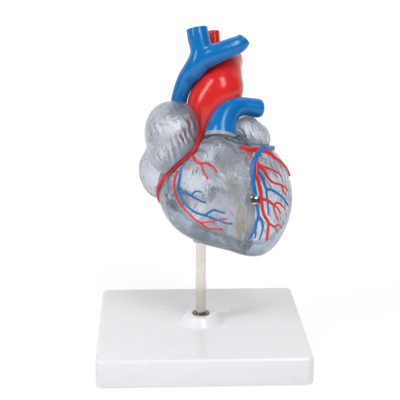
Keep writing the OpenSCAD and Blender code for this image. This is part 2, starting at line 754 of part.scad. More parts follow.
great_vein_lines = [
    [1.6, 0.7, [[41, 20.3], [36.1, 20], [33.8, 19.3], [31.5, 16.5], [29.6, 13.2], [28.3, 9.6], [27.7, 5.3],
        [28.2, -0.2], [29.1, -5.6], [30.3, -12.7], [30.9, -18.1], [29.9, -22], [29.2, -26], [27.3, -28.7],
        [25.8, -31.1]]],
    [0.6, 0.5, [[29.2, -26], [29.7, -28.3], [29.1, -30.7]]],
    [0.8, 0.5, [[30.9, -18.1], [33.2, -21.3], [33.6, -24.9], [32.9, -28.4], [31.8, -31.4]]],
    [1, 0.6, [[29.2, 10.4], [31.8, 6.1], [33.7, 2.2], [35.6, -2.9], [38.9, -3.8], [42.7, -6.1], [46.2, -8.9],
        [48.7, -12.5]]],
    [0.7, 0.5, [[35.6, -2.9], [35.8, -6.4], [36.4, -12], [36.8, -17.8]]],
];
small_vein_lines = [
    [0.9, 0.7, [[-11.5, 9.4], [-12.3, 4.8], [-13.1, 0.5], [-13.3, -3.7], [-12.1, -7], [-10.1, -10.2], [-7.3, -13.4],
        [-3.8, -15.9], [0.8, -17.4], [3.3, -16], [6.1, -14.6], [9.6, -15.7], [12, -16.4]]],
    [0.7, 0.5, [[0.8, -17.4], [2.6, -18.1], [6.1, -19.4], [9.7, -20.9], [13.2, -22.1], [16.4, -22.4]]],
    [0.7, 0.5, [[-13.2, -3.7], [-10.7, -4.5], [-7.9, -5.9], [-6.2, -6.7], [-5.1, -4.9], [-3, -4.1], [-0.9, -4.6]]],
    [0.6, 0.5, [[-6.2, -6.7], [-3.8, -8.2], [-1, -9.6], [1.5, -10.6]]],
];
rear_artery_lines = [
    [1.1, 0.6, [[-3, -10.6], [1, -12], [4, -19], [8, -26], [13, -33]]],
    [0.7, 0.5, [[4, -19], [-3, -23], [-7, -28]]],
    [1.1, 0.6, [[48, 9], [41, 8], [34, 2], [27, -3.5], [20, -6], [17, -12]]],
    [0.8, 0.5, [[36, 4], [38, -5], [37, -15]]],
    [0.8, 0.5, [[28, -3], [30, -12], [29, -22], [31, -29]]],
];
rear_vein_lines = [
    [1.2, 2.1, [[42, 16], [40, 11], [35, 5.6], [27, 0.1], [18, -2.6], [9.5, -4.8], [1, -6.5]]],
    [1.2, 0.7, [[2, -7], [7, -14], [10.5, -21], [14, -27], [18, -34]]],
    [0.9, 0.6, [[18, -3], [22, -10], [24, -19], [23, -27]]],
    [0.9, 0.5, [[36, 6.5], [42, -2], [42.5, -12]]],
];

module behind_middle() translate([-far / 2, 0, -far / 2]) cube(far);
module rear_clear() {
    ventricles_solid();
    intersection() {
        behind_middle();
        union() {
            atria_solid();
            tube(smooth(lower_cava_line));
        }
    }
}
right_coronary_line = concat(
    [[1.5, deep(-7.5), 29.5, coronary_r]],
    over(ventricles, -1, coronary_r, coronary_r, right_coronary_front),
    over(ventricles, 1, coronary_r, 1.1, right_coronary_back)
);
module right_coronary_artery() color(red) as_mesh() in_heart()
    difference() {
        tube(right_coronary_line, 6);
        rear_clear();
        front_region(lift_gap);
        tube(smooth(aorta_line), great_sides);
        tube(smooth(trunk_line), great_sides);
    }
module rear_coronary_arteries() color(red) as_mesh() in_heart()
    difference() {
        on_ventricles(1, rear_artery_lines);
        rear_clear();
        on_ventricles(1, rear_vein_lines);
        tube(right_coronary_line, 6);
    }
module rear_cardiac_veins() color(blue) as_mesh() in_heart()
    difference() {
        on_ventricles(1, rear_vein_lines);
        rear_clear();
    }

// What lies on the front wall stays inside its edges
module on_front_wall()
    intersection() {
        difference() {
            children();
            ventricles_solid();
        }
        front_region(-lift_gap / 2);
    }
module marginal_artery() color(red) as_mesh() in_heart()
    on_front_wall() on_ventricles(-1, marginal_lines);
module great_cardiac_vein() color(blue) as_mesh() in_heart()
    on_front_wall() on_ventricles(-1, great_vein_lines);
module small_cardiac_vein() color(blue) as_mesh() in_heart()
    on_front_wall()
        difference() {
            on_ventricles(-1, small_vein_lines);
            on_ventricles(-1, marginal_lines);
        }
module left_coronary_artery() color(red) as_mesh() in_heart()
    on_front_wall()
        difference() {
            on_ventricles(-1, left_coronary_lines);
            on_ventricles(-1, great_vein_lines);
        }

base_plate();
rubber_feet();
base_bush();
stand_rod();
rod_socket();
ventricle_shell();
right_atrium();
left_atrium();
septum();
septum_magnet();
locating_pins();
vena_cava_superior();
vena_cava_inferior();
aorta();
pulmonary_trunk();
trunk_collar();
pulmonary_veins();
tricuspid_valve();
mitral_valve();
aortic_valve();
pulmonary_valve();
papillary_muscles();
sinus_node();
av_bundle();
right_bundle_branch();
left_bundle_branch();
right_coronary_artery();
rear_coronary_arteries();
rear_cardiac_veins();
front_wall();
front_magnet();
marginal_artery();
left_coronary_artery();
great_cardiac_vein();
small_cardiac_vein();
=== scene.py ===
import math

import bmesh
import bpy
import numpy as np
from mathutils import Matrix, Vector


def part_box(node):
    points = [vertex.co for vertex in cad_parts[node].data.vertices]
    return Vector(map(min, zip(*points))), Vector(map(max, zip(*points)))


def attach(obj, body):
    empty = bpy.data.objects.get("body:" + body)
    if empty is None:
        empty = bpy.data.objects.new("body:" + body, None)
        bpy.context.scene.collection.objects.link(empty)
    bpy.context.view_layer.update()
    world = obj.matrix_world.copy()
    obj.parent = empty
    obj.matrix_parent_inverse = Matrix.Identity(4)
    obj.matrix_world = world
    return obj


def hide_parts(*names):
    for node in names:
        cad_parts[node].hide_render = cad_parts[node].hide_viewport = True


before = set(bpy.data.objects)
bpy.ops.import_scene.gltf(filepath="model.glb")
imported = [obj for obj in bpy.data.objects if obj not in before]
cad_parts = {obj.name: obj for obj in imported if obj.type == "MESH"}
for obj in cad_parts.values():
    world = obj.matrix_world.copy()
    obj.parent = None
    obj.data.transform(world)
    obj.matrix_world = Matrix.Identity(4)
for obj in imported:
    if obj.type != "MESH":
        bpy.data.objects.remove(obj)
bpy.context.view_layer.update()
MM = 0.001


# -------- camera
# The photograph looks down a little on the model from its front, from about 0.7 m away, with a long lens.
# The camera was placed by the base plate's four corners and the rod.

CAMERA_TURN = -2.283
CAMERA_RISE = 14.916
CAMERA_DISTANCE = 0.710588
CAMERA_TARGET = Vector((-0.000486, 0, 0.090709))
CAMERA_LENS = 110.96
CAMERA_SENSOR = 36


def outwards(turn, rise):
    """The direction turn degrees to the right of the model's front and rise degrees up."""
    a, e = math.radians(turn), math.radians(rise)
    return Vector((math.sin(a) * math.cos(e), -math.cos(a) * math.cos(e), math.sin(e)))


camera = bpy.data.objects.new("camera", bpy.data.cameras.new("camera"))
bpy.context.scene.collection.objects.link(camera)
bpy.context.scene.camera = camera
camera_back = outwards(CAMERA_TURN, CAMERA_RISE)
camera.location = CAMERA_TARGET + camera_back * CAMERA_DISTANCE
camera.rotation_euler = (-camera_back).to_track_quat("-Z", "Y").to_euler()
camera.data.lens = CAMERA_LENS
camera.data.sensor_width = CAMERA_SENSOR
camera.data.clip_start = 0.01
camera.data.clip_end = 20


# -------- base plate
# A square plate, moulded in glossy white plastic and hollow underneath, with stiffening ribs.
# A conical boss stands in its middle, on a post, and flows out into the plate with a round.

base_low, base_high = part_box("base_plate")
bush_low, bush_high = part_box("base_bush")
BASE_HALF = base_high.x / MM
BASE_BOTTOM = base_low.z / MM
BOSS_TOP = base_high.z / MM
BUSH_BOTTOM = bush_low.z / MM
BASE_TOP = 16.5
BASE_WALL = 3
BASE_CORNER = 4
BASE_ROUND = 2
LOWER_ROUND = 0.6
BOSS_R = 9
BOSS_FOOT_R = 13.5
BOSS_ROUND = 2.5
BOSS_RIM_ROUND = 0.8
POST_R = 7
BUSH_HOLE_R = 4.05
RIB_T = 2
RIB_BOTTOM = 4
GLUE_GAP = 0.1
FOOT_INSET = 14
FOOT_R = 6
FOOT_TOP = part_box("rubber_feet")[1].z / MM


def new_piece(points, faces, name="cutter"):
    """A mesh object from points in millimetres, in the row frame."""
    mesh = bpy.data.meshes.new(name)
    mesh.from_pydata((np.asarray(points, float) * MM).tolist(), [], faces)
    mesh.validate()
    piece = bpy.data.objects.new(name, mesh)
    bpy.context.scene.collection.objects.link(piece)
    return piece


def skin_rings(rings, name="cutter"):
    """A closed form skinned over rings of equal length, each from its start to its end."""
    n = len(rings[0])
    faces = [list(range(n))]
    for i in range(len(rings) - 1):
        for j in range(n):
            k = (j + 1) % n
            faces.append([i * n + j, (i + 1) * n + j, (i + 1) * n + k, i * n + k])
    faces.append([(len(rings) - 1) * n + j for j in reversed(range(n))])
    return new_piece(np.concatenate(rings), faces, name)


def lathe(profile, steps=96, middle=(0, 0), name="cutter"):
    """A turned form about an upright axis: profile is [radius, height] from the bottom to the top."""
    turn = np.arange(steps) * 2 * math.pi / steps
    rings = [
        np.stack([middle[0] + r * np.cos(turn), middle[1] - r * np.sin(turn), np.full(steps, h)], 1)
        for r, h in profile
    ]
    return skin_rings(rings, name)


def settle(piece):
    """Makes what the piece's modifiers show its own mesh."""
    result = bpy.data.meshes.new_from_object(piece.evaluated_get(bpy.context.evaluated_depsgraph_get()))
    piece.modifiers.clear()
    piece.data = result
    return piece


def carve(piece, *cutters, how="DIFFERENCE"):
    """Cuts, joins or intersects the piece with each cutter, which is then removed."""
    for cutter in cutters:
        step = piece.modifiers.new("carve", "BOOLEAN")
        step.operation = how
        step.solver = "MANIFOLD"
        step.object = cutter
        settle(piece)
        bpy.data.objects.remove(cutter)
    return piece


def seat(piece, stuff, body="heart", stands_for=None, crisp=35):
    """Finishes a piece: smooth, but for edges sharper than crisp degrees. stuff is its slot name, which is not used,
    and its material.
    It stands for the node of its own name, unless stands_for names another."""
    piece.data.shade_smooth()
    piece.data.set_sharp_from_angle(angle=math.radians(crisp))
    slot, material = stuff
    stands_for = stands_for or piece.name.removesuffix("_piece")
    piece.data.materials.clear()
    piece.data.materials.append(material)
    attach(piece, body)
    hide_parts(stands_for)


def rounded_square(half, corner, z, steps=8):
    """A ring round a square with rounded corners, at height z."""
    ring = []
    for k in range(4):
        for s in range(steps + 1):
            a = (k + s / steps) * math.pi / 2
            cx, cy = [(1, 1), (-1, 1), (-1, -1), (1, -1)][k]
            ring.append([cx * (half - corner) + corner * math.cos(a), cy * (half - corner) + corner * math.sin(a), z])
    return np.array(ring[::-1])


def rounding(steps=6):
    """The share of a quarter round that is gone, inwards and downwards, from its start to its end."""
    for s in range(steps + 1):
        a = s / steps * math.pi / 2
        yield 1 - math.cos(a), 1 - math.sin(a)


def plate_rings():
    """The plate from its lower edge, with a small round, to its upper one, with a large round."""
    for upwards, inwards in rounding(3):
        r = LOWER_ROUND * inwards
        yield rounded_square(BASE_HALF - r, BASE_CORNER - r, BASE_BOTTOM + LOWER_ROUND * upwards)
    for inwards, downwards in rounding():
        r = BASE_ROUND * inwards
        yield rounded_square(BASE_HALF - r, BASE_CORNER - r, BASE_TOP - BASE_ROUND * downwards)


def boss_profile():
    """The boss from inside the plate to its rim, with a hollow round at its foot and a small one at its rim."""
    slope = math.atan2(BOSS_TOP - BASE_TOP, BOSS_FOOT_R - BOSS_R)
    reach = BOSS_ROUND * math.tan(slope / 2)
    yield 0.1, BASE_TOP - 1
    yield BOSS_FOOT_R + reach, BASE_TOP - 1
    yield BOSS_FOOT_R + reach, BASE_TOP
    for s in range(1, 8):
        a = slope * s / 7
        yield BOSS_FOOT_R + reach - BOSS_ROUND * math.sin(a), BASE_TOP + BOSS_ROUND * (1 - math.cos(a))
    back = BOSS_RIM_ROUND * math.tan(slope / 2)
    for s in range(6):
        a = slope * (1 - s / 5)
        yield BOSS_R - back + BOSS_RIM_ROUND * math.sin(a), BOSS_TOP - BOSS_RIM_ROUND * (1 - math.cos(a))
    yield 0.1, BOSS_TOP


plate = skin_rings(list(plate_rings()), "base_plate_piece")
carve(plate, lathe(list(boss_profile())), how="UNION")


def box_form(low, high):
    """A plain box, to cut with."""
    points = [[(low, high)[i][0], (low, high)[j][1], (low, high)[k][2]] for i in (0, 1) for j in (0, 1) for k in (0, 1)]
    return new_piece(points, [[0, 1, 3, 2], [4, 6, 7, 5], [0, 4, 5, 1], [2, 3, 7, 6], [0, 2, 6, 4], [1, 5, 7, 3]])


inner = BASE_HALF - BASE_WALL
hollow = box_form((-inner, -inner, -1), (inner, inner, BASE_TOP - BASE_WALL))
carve(hollow, lathe([(POST_R, -2), (POST_R, BASE_TOP)]))
for x, y in ((BASE_HALF, RIB_T / 2), (RIB_T / 2, BASE_HALF)):
    carve(hollow, box_form((-x, -y, RIB_BOTTOM), (x, y, BASE_TOP)))
foot_places = [(x * (BASE_HALF - FOOT_INSET), y * (BASE_HALF - FOOT_INSET)) for x in (-1, 1) for y in (-1, 1)]
for at in foot_places:
    carve(hollow, lathe([(FOOT_R + BASE_WALL, BASE_BOTTOM), (FOOT_R + BASE_WALL, BASE_TOP)], 64, at))
carve(plate, hollow, lathe([(BUSH_HOLE_R, BUSH_BOTTOM - 0.05), (BUSH_HOLE_R, BOSS_TOP + 1)]))
for at in foot_places:
    carve(plate, lathe([(FOOT_R + GLUE_GAP, 0), (FOOT_R + GLUE_GAP, FOOT_TOP)], 64, at))


def shader(name):
    """A new material with its nodes, its links and its Principled shader."""
    material = bpy.data.materials.new(name)
    material.use_nodes = True
    tree = material.node_tree
    return material, tree, tree.nodes["Principled BSDF"]


def feed(tree, made, inputs):
    """Gives the inputs of a node, by name or number, their values, or links them to the sockets given."""
    sockets = {socket.name: socket for socket in reversed(made.inputs) if socket.enabled}
    for key, value in inputs.items():
        socket = sockets[key] if isinstance(key, str) else made.inputs[key]
        if isinstance(value, bpy.types.NodeSocket):
            tree.links.new(value, socket)
        else:
            socket.default_value = value
    return made


def node(tree, kind, inputs={}, **settings):
    """A shader node with its inputs and its settings."""
    made = tree.nodes.new("ShaderNode" + kind)
    for key, value in settings.items():
        setattr(made, key, value)
    return feed(tree, made, inputs)


def place_group():
    """Where a point lies on the piece, in millimetres."""
    tree = bpy.data.node_groups.new("place", "ShaderNodeTree")
    tree.interface.new_socket("Place", in_out="OUTPUT", socket_type="NodeSocketVector")
    place = node(tree, "TexCoord")
    scaled = node(tree, "VectorMath", {3: 1 / MM, 0: place.outputs["Object"]}, operation="SCALE")
    feed(tree, tree.nodes.new("NodeGroupOutput"), {"Place": scaled.outputs[0]})
    return tree


place = place_group()


def moulded_group():
    """The surface of a glossy moulding: faint blotches in its colour, and a shallow orange peel."""
    tree = bpy.data.node_groups.new("moulded surface", "ShaderNodeTree")
    for socket, kind in (("Colour", "Color"), ("Shade", "Float"), ("Blotch size", "Float"), ("Gloss", "Float")):
        tree.interface.new_socket(socket, in_out="INPUT", socket_type="NodeSocket" + kind)
    for socket, kind in (("Colour", "Color"), ("Roughness", "Float"), ("Height", "Float")):
        tree.interface.new_socket(socket, in_out="OUTPUT", socket_type="NodeSocket" + kind)
    start = tree.nodes.new("NodeGroupInput")
    where = node(tree, "Group", node_tree=place)
    size = node(tree, "Math", {0: 1, 1: start.outputs["Blotch size"]}, operation="DIVIDE")
    blotch = node(tree, "TexNoise", {
        "Detail": 4, "Roughness": 0.55, "Vector": where.outputs[0], "Scale": size.outputs[0],
    })
    peel = node(tree, "TexNoise", {"Scale": 0.9, "Detail": 3, "Vector": where.outputs[0]})
    dark = node(tree, "MapRange", {
        "From Min": 0.35, "From Max": 0.7, "To Min": 0.0, "To Max": 1.0, "Value": blotch.outputs["Fac"],
    })
    share = node(tree, "Math", {0: dark.outputs[0], 1: start.outputs["Shade"]}, operation="MULTIPLY")
    keep = node(tree, "Math", {0: 1, 1: share.outputs[0]}, operation="SUBTRACT")
    tint = node(tree, "VectorMath", {0: start.outputs["Colour"], 3: keep.outputs[0]}, operation="SCALE")
    gloss = start.outputs["Gloss"]
    rough = node(tree, "Math", {0: blotch.outputs["Fac"], 1: 0.12, 2: gloss}, operation="MULTIPLY_ADD")
    feed(tree, tree.nodes.new("NodeGroupOutput"), {
        "Colour": tint.outputs[0], "Roughness": rough.outputs[0], "Height": peel.outputs["Fac"],
    })
    return tree


moulded = moulded_group()


def moulded_plastic(slot, name, colour, shade_share, blotch, gloss, peel, coat):
    """The slot and material of a glossy opaque plastic.
    gloss is its lowest roughness and peel its bump's height in millimetres."""
    material, tree, surface = shader(name)
    marks = node(tree, "Group", {"Colour": (*colour, 1), "Shade": shade_share, "Blotch size": blotch, "Gloss": gloss},
                 node_tree=moulded)
    bump = node(tree, "Bump", {"Strength": 1, "Distance": peel * MM, "Height": marks.outputs["Height"]})
    feed(tree, surface, {
        "Base Color": marks.outputs["Colour"], "Roughness": marks.outputs["Roughness"],
        "Normal": bump.outputs["Normal"], "Coat Weight": coat, "Coat Roughness": 0.08,
    })
    return slot, material


white = moulded_plastic("base_plastic", "white base plastic", (0.84, 0.85, 0.87), 0.01, 60, 0.22, 0.002, 0.2)
seat(plate, white, "base")


# -------- feet
# Four discs of black rubber, punched from sheet and glued into shallow seats under the plate.

def rubber():
    """The slot and material of a dull, grainy black rubber."""
    material, tree, surface = shader("black rubber")
    where = node(tree, "Group", node_tree=place)
    grain = node(tree, "TexNoise", {"Scale": 2.5, "Detail": 6, "Roughness": 0.7, "Vector": where.outputs[0]})
    colour = node(tree, "ValToRGB", {"Fac": grain.outputs["Fac"]})
    colour.color_ramp.elements[0].color = (0.012, 0.012, 0.013, 1)
    colour.color_ramp.elements[1].color = (0.05, 0.05, 0.052, 1)
    bump = node(tree, "Bump", {"Distance": 0.08 * MM, "Height": grain.outputs["Fac"]})
    feed(tree, surface, {
        "Base Color": colour.outputs["Color"], "Normal": bump.outputs["Normal"], "Roughness": 0.75,
    })
    return "foot_rubber", material


FOOT_ROUND = 0.3
disc = [(0.1, 0), (FOOT_R - FOOT_ROUND, 0), (FOOT_R, FOOT_ROUND), (FOOT_R, FOOT_TOP), (0.1, FOOT_TOP)]
black_rubber = rubber()
for number, at in enumerate(foot_places):
    seat(lathe(disc, 64, at, f"rubber_foot_{number + 1}"), black_rubber, "base", "rubber_feet", 50)


# -------- bush
# A turned steel sleeve, darkened by wear, pressed into the boss. Its flange shows round the rod's foot.

ROD_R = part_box("stand_rod")[1].x / MM
ROD_PLAY = 0.05
BUSH_BORE = ROD_R + ROD_PLAY
BUSH_T = 0.9
BUSH_R = BUSH_BORE + BUSH_T
FLANGE_R = bush_high.x / MM
FLANGE_TOP = bush_high.z / MM
EDGE = 0.2


def turned_metal(slot, name, colour, low_gloss, high_gloss, along, across):
    """The slot and material of a metal with fine tool marks.
    along and across are the marks' spread in 1/mm, upwards and round."""
    material, tree, surface = shader(name)
    where = node(tree, "Group", node_tree=place)
    stretched = node(tree, "VectorMath", {1: (across, across, along), 0: where.outputs[0]}, operation="MULTIPLY")
    marks = node(tree, "TexNoise", {"Scale": 1, "Detail": 5, "Roughness": 0.6, "Vector": stretched.outputs[0]})
    stain = node(tree, "TexNoise", {"Scale": 0.12, "Detail": 3, "Vector": where.outputs[0]})
    rough = node(tree, "MapRange", {"To Min": low_gloss, "To Max": high_gloss, "Value": marks.outputs["Fac"]})
    tint = node(tree, "MapRange", {
        "From Min": 0.3, "From Max": 0.7, "To Min": 0.82, "To Max": 1, "Value": stain.outputs["Fac"],
    })
    shown = node(tree, "VectorMath", {0: colour, 3: tint.outputs[0]}, operation="SCALE")
    bump = node(tree, "Bump", {"Distance": 0.01 * MM, "Height": marks.outputs["Fac"]})
    feed(tree, surface, {
        "Base Color": shown.outputs[0], "Roughness": rough.outputs[0], "Normal": bump.outputs["Normal"], "Metallic": 1,
    })
    return slot, material


bush = lathe([
    (BUSH_R, BUSH_BOTTOM), (BUSH_R, BOSS_TOP), (FLANGE_R, BOSS_TOP), (FLANGE_R, FLANGE_TOP - EDGE),
    (FLANGE_R - EDGE, FLANGE_TOP),
], name="bush_piece")
carve(bush, lathe([
    (BUSH_BORE, BUSH_BOTTOM - 1), (BUSH_BORE, FLANGE_TOP - EDGE), (BUSH_BORE + EDGE, FLANGE_TOP),
    (BUSH_BORE + EDGE, FLANGE_TOP + 1),
]))
dark_steel = turned_metal("bush_steel", "dark turned steel", (0.20, 0.19, 0.18), 0.25, 0.45, 6, 0.6)
seat(bush, dark_steel, "base", "base_bush")


# -------- rod
# A drawn round bar of nickel-plated steel. It drops into the bush below and carries the socket above.

rod_low, rod_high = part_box("stand_rod")
ROD_TIP = 0.6
rod = lathe([
    (0.1, rod_low.z / MM), (ROD_R - EDGE, rod_low.z / MM), (ROD_R, rod_low.z / MM + EDGE),
    (ROD_R, rod_high.z / MM - ROD_TIP), (ROD_R - ROD_TIP, rod_high.z / MM), (0.1, rod_high.z / MM),
], name="rod_piece")
rod_steel = turned_metal("rod_steel", "drawn steel", (0.80, 0.74, 0.68), 0.14, 0.3, 0.05, 4)
seat(rod, rod_steel, "rod", "stand_rod")


# -------- forms of the heart
# Every clear shell of the heart is moulded over a form like a cushion, in halves that are bonded together.
# The forms are set in the heart's own frame, which leans back on the rod.

HEART_Z = 100
LEAN = math.radians(15)
WALL = 2.4
CLEAR_GAP = 0.3
BALL_LEVEL = 6
heart_turn = np.array(Matrix.Rotation(-LEAN, 3, "X"))

NO_LUMP = (0, 0, 0, 1)
ventricles = (
    (14.4, 0, -4.5), (38, 37, 36, 34.5, 36, 39, 39, 36.5, 33, 33.5, 42, 40), 27, 27, (11, 24, 9, 11),
)
right_auricle = (
    (-16.5, -8, 27), (15, 18, 20.5, 20.5, 19.5, 17, 15.5, 16, 20, 23, 19, 15.5), 17, 16, NO_LUMP,
)
right_chamber = ((-16, 8, 12), (16, 18, 24, 32, 24, 18, 19.5, 21, 22, 18, 16, 16), 15, 18, NO_LUMP)
left_auricle = (
    (29, -4, 27), (11, 10, 9.5, 11.5, 12.5, 11, 8.8, 10, 11, 11, 12, 11.5), 12, 20, NO_LUMP,
)
left_chamber = ((14, 21, 20), (22, 20, 17, 16, 17, 20, 22, 20, 17, 16, 17, 20), 11, 15, NO_LUMP)


def in_heart(points):
    """Points of the heart's own frame in the row frame, both in millimetres."""
    return np.asarray(points, float) @ heart_turn.T + (0, 0, HEART_Z)


def between(a, b, c, d, t):
    """The smooth curve from b to c, at t from 0 to 1, with a before and d after them."""
    return 0.5 * (2 * b + (c - a) * t + (2 * a - 5 * b + 4 * c - d) * t ** 2 + (3 * b - a - 3 * c + d) * t ** 3)


def round_value(values, turn):
    """The value at each turn, in radians, of an evenly spaced closed list."""
    values = np.asarray(values, float)
    n = len(values)
    share = (turn % (2 * math.pi)) / (2 * math.pi) * n
    i = np.floor(share).astype(int)
    return between(*(values[(i + k) % n] for k in (-1, 0, 1, 2)), share - i)


def lump_height(form, x, z, forwards):
    """How far the form's lump stands out at (x, z). It fades out where the front meets the back."""
    at_x, at_z, height, spread = form[4]
    fade = np.clip(forwards / 0.3, 0, 1)
    return height * np.exp(-((x - at_x) ** 2 + (z - at_z) ** 2) / spread ** 2) * fade * fade * (3 - 2 * fade)


def ball():
    """Points and faces of an even ball."""
    shape = bmesh.new()
    bmesh.ops.create_icosphere(shape, subdivisions=BALL_LEVEL, radius=1)
    points = np.array([v.co[:] for v in shape.verts])
    faces = [[v.index for v in f.verts] for f in shape.faces]
    shape.free()
    return points, faces


ball_form = ball()


def cushion(form, inset=0, relief=None, name="cutter"):
    """The form's skin, inset by a wall. relief gives how far each point moves outwards, from its place."""
    middle, outline, front, back = form[:4]
    way, faces = ball_form
    turn = np.arctan2(way[:, 2], way[:, 0])
    out = np.hypot(way[:, 0], way[:, 2])
    radius = (round_value(outline, turn) - inset) * out
    x = middle[0] + radius * np.cos(turn)
    z = middle[2] + radius * np.sin(turn)
    bulge = np.where(way[:, 1] < 0, front - inset, back - inset) * way[:, 1]
    points = np.stack([x, middle[1] + bulge - lump_height(form, x, z, -way[:, 1]), z], 1)
    if relief:
        points += way * relief(points)[:, None]
    return new_piece(in_heart(points), faces, name)


def surface_y(form, x, z, side=-1):
    """Depth of the form's skin at (x, z): side -1 is its front and 1 its back."""
    dx, dz = x - form[0][0], z - form[0][2]
    share = np.minimum(1, np.hypot(dx, dz) / round_value(form[1], np.arctan2(dz, dx)))
    rise = np.sqrt(1 - share ** 2)
    if side > 0:
        return form[0][1] + form[3] * rise
    return form[0][1] - form[2] * rise - lump_height(form, x, z, rise)


def part_of(piece_a, piece_b):
    """Joins two meshes that don't touch into the first."""
    with bpy.context.temp_override(active_object=piece_a, selected_editable_objects=[piece_a, piece_b]):
        bpy.ops.object.join()
    return piece_a


def turned(at, to, profile, steps=48, name="cutter"):
    """A turned form in the heart's frame: profile is [radius, how far past the point at, in the direction to]."""
    turn = Vector(to).to_track_quat("Z", "Y").to_matrix()
    around = -np.arange(steps) * 2 * math.pi / steps
    rings = [
        in_heart([Vector(at) + turn @ Vector((r * math.cos(a), r * math.sin(a), h)) for a in around])
        for r, h in profile
    ]
    return skin_rings(rings, name)


# -------- the parting
# The ventricles' shell is sawn along a slanting plane and along the groove beside the right auricle.
# What lies before both is the front wall, which lifts off.

PART_Y, PART_X_SLOPE, PART_Z_SLOPE = -9.5, 0.145, 0.29
upper_edge = [
    (-60, -9), (-26, -9), (-24, -3), (-21.2, 0.2), (-17.8, 4.4), (-13.5, 8.6), (-8.2, 13.2), (-2.8, 18),
    (0.3, 24), (2.2, 26.9), (6, 26.9), (10, 26.1), (13, 25.1), (15.2, 23.7), (18, 22.7), (21, 21.8),
    (42, 21.8), (90, 21.8),
]


def parting_y(x, z):
    return PART_Y + PART_X_SLOPE * (x - ventricles[0][0]) + PART_Z_SLOPE * (z - ventricles[0][2])


def beyond_edge(gap):
    """The outline, seen from the front, of what lies below the front wall's upper edge, widened by gap."""
    edge = np.array(upper_edge, float)
    along = np.gradient(edge, axis=0)
    along /= np.linalg.norm(along, axis=1)[:, None]
    edge += gap * np.stack([-along[:, 1], along[:, 0]], 1)
    return np.concatenate([edge, [(90, -90), (-60, -90)]])[::-1].T


def front_region(gap, back=None):
    """The space before the parting, or all before the depth back, widened by gap."""
    x, z = beyond_edge(gap)
    ends = np.full(len(x), -80.0), parting_y(x, z) + gap if back is None else np.full(len(x), back)
    return skin_rings([in_heart(np.stack([x, y, z], 1)) for y in ends])


def lift_path(gap):
    """What the front wall passes as it lifts off, back to the heart's middle, widened by gap."""
    return front_region(gap, 0.0)


# -------- clear plastic
# The shells are moulded in clear rigid plastic. Inside, they carry the relief of the heart's muscle. Their colour
# darkens towards a rim colour where they are seen on edge, which is painted shade.

def clear_plastic(name, colour, rim, gloss, streak, through=0.95):
    """The slot and material of a clear plastic whose colour turns to rim where it is seen on edge, which is painted
    shade.
    streak is its ripples' height, and through is the share of the light that goes through."""
    material, tree, surface = shader(name)
    where = node(tree, "Group", node_tree=place)
    flow = node(tree, "VectorMath", {1: (0.5, 0.5, 0.16), 0: where.outputs[0]}, operation="MULTIPLY")
    ripple = node(tree, "TexNoise", {
        "Scale": 1, "Detail": 4, "Roughness": 0.55, "Distortion": 0.6, "Vector": flow.outputs[0],
    })
    bump = node(tree, "Bump", {"Distance": streak * MM, "Height": ripple.outputs["Fac"]})
    rough = node(tree, "MapRange", {"To Min": gloss, "To Max": gloss + 0.08, "Value": ripple.outputs["Fac"]})
    # Painted shade: the colour is mixed towards rim as the surface turns edge-on to the camera, in place of the
    # darkening that a long path through the plastic gives.
    edge = node(tree, "LayerWeight", {"Blend": 0.5})
    tint = node(tree, "Mix", {"A": (*colour, 1), "B": (*rim, 1), "Factor": edge.outputs["Facing"]}, data_type="RGBA")
    feed(tree, surface, {
        "Base Color": tint.outputs["Result"], "Roughness": rough.outputs[0], "Normal": bump.outputs["Normal"],
        "Transmission Weight": through, "IOR": 1.46,
    })
    return "clear_plastic", material


# The second colour of each clear plastic is its painted shade where it is seen on edge; the shell's is the darkest.
clear = clear_plastic("clear plastic", (0.93, 0.94, 0.97), (0.8, 0.84, 0.92), 0.03, 0.5)
clear_shell = clear_plastic("clear shell plastic", (0.84, 0.88, 0.94), (0.22, 0.3, 0.44), 0.05, 0.12)


def muscle(points):
    """Flowing ridges, like the muscle on the inside of the ventricles. Beside the parting, the rear is smooth."""
    x, y, z = points.T
    flow = 0.35 * (x + 0.35 * z) + 0.3 * y + 1.2 * np.sin(0.11 * z + 0.07 * x) + 0.6 * np.sin(0.23 * z - 0.19 * x)
    ridge = np.abs(np.sin(flow * 2.2 + 0.8 * np.sin(0.31 * z)))
    behind = y - parting_y(x, z)
    share = np.where(behind < 0, 1, np.clip((behind - 9) / 5, 0, 1))
    return share * (0.55 * (0.5 - ridge) + 0.25 * np.sin(0.5 * z + 0.4 * x + 0.3 * y))


tricuspid = ((-19, 3, 15), (0.85, 0, -0.53), 8.5)
mitral = ((21, 18.3, 21), (-0.1, -0.66, -0.74), 7.5)
aortic = ((2, 0, 29), (0, 0, 1), 6)
pulmonic = ((11.1, -11.7, 29), (0.13, 0.27, 0.95), 6)
RING_H = 4
RING_T = 1.2


def valve_hole(valve, gap=GLUE_GAP):
    at, to, radius = valve
    return turned(at, to, [(radius + gap, -1.5 * RING_H), (radius + gap, 1.5 * RING_H)])


SOCKET_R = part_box("rod_socket")[1].x / MM
SOCKET_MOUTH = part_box("rod_socket")[0].z / MM
SOCKET_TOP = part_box("rod_socket")[1].z / MM


def socket_hole():
    return lathe([(SOCKET_R + GLUE_GAP, SOCKET_MOUTH - 5), (SOCKET_R + GLUE_GAP, SOCKET_MOUTH + 35)])


PIN_R = 0.6
PIN_L = 5
PIN_BOSS_T = 2
PIN_BOSS_END = 1.6


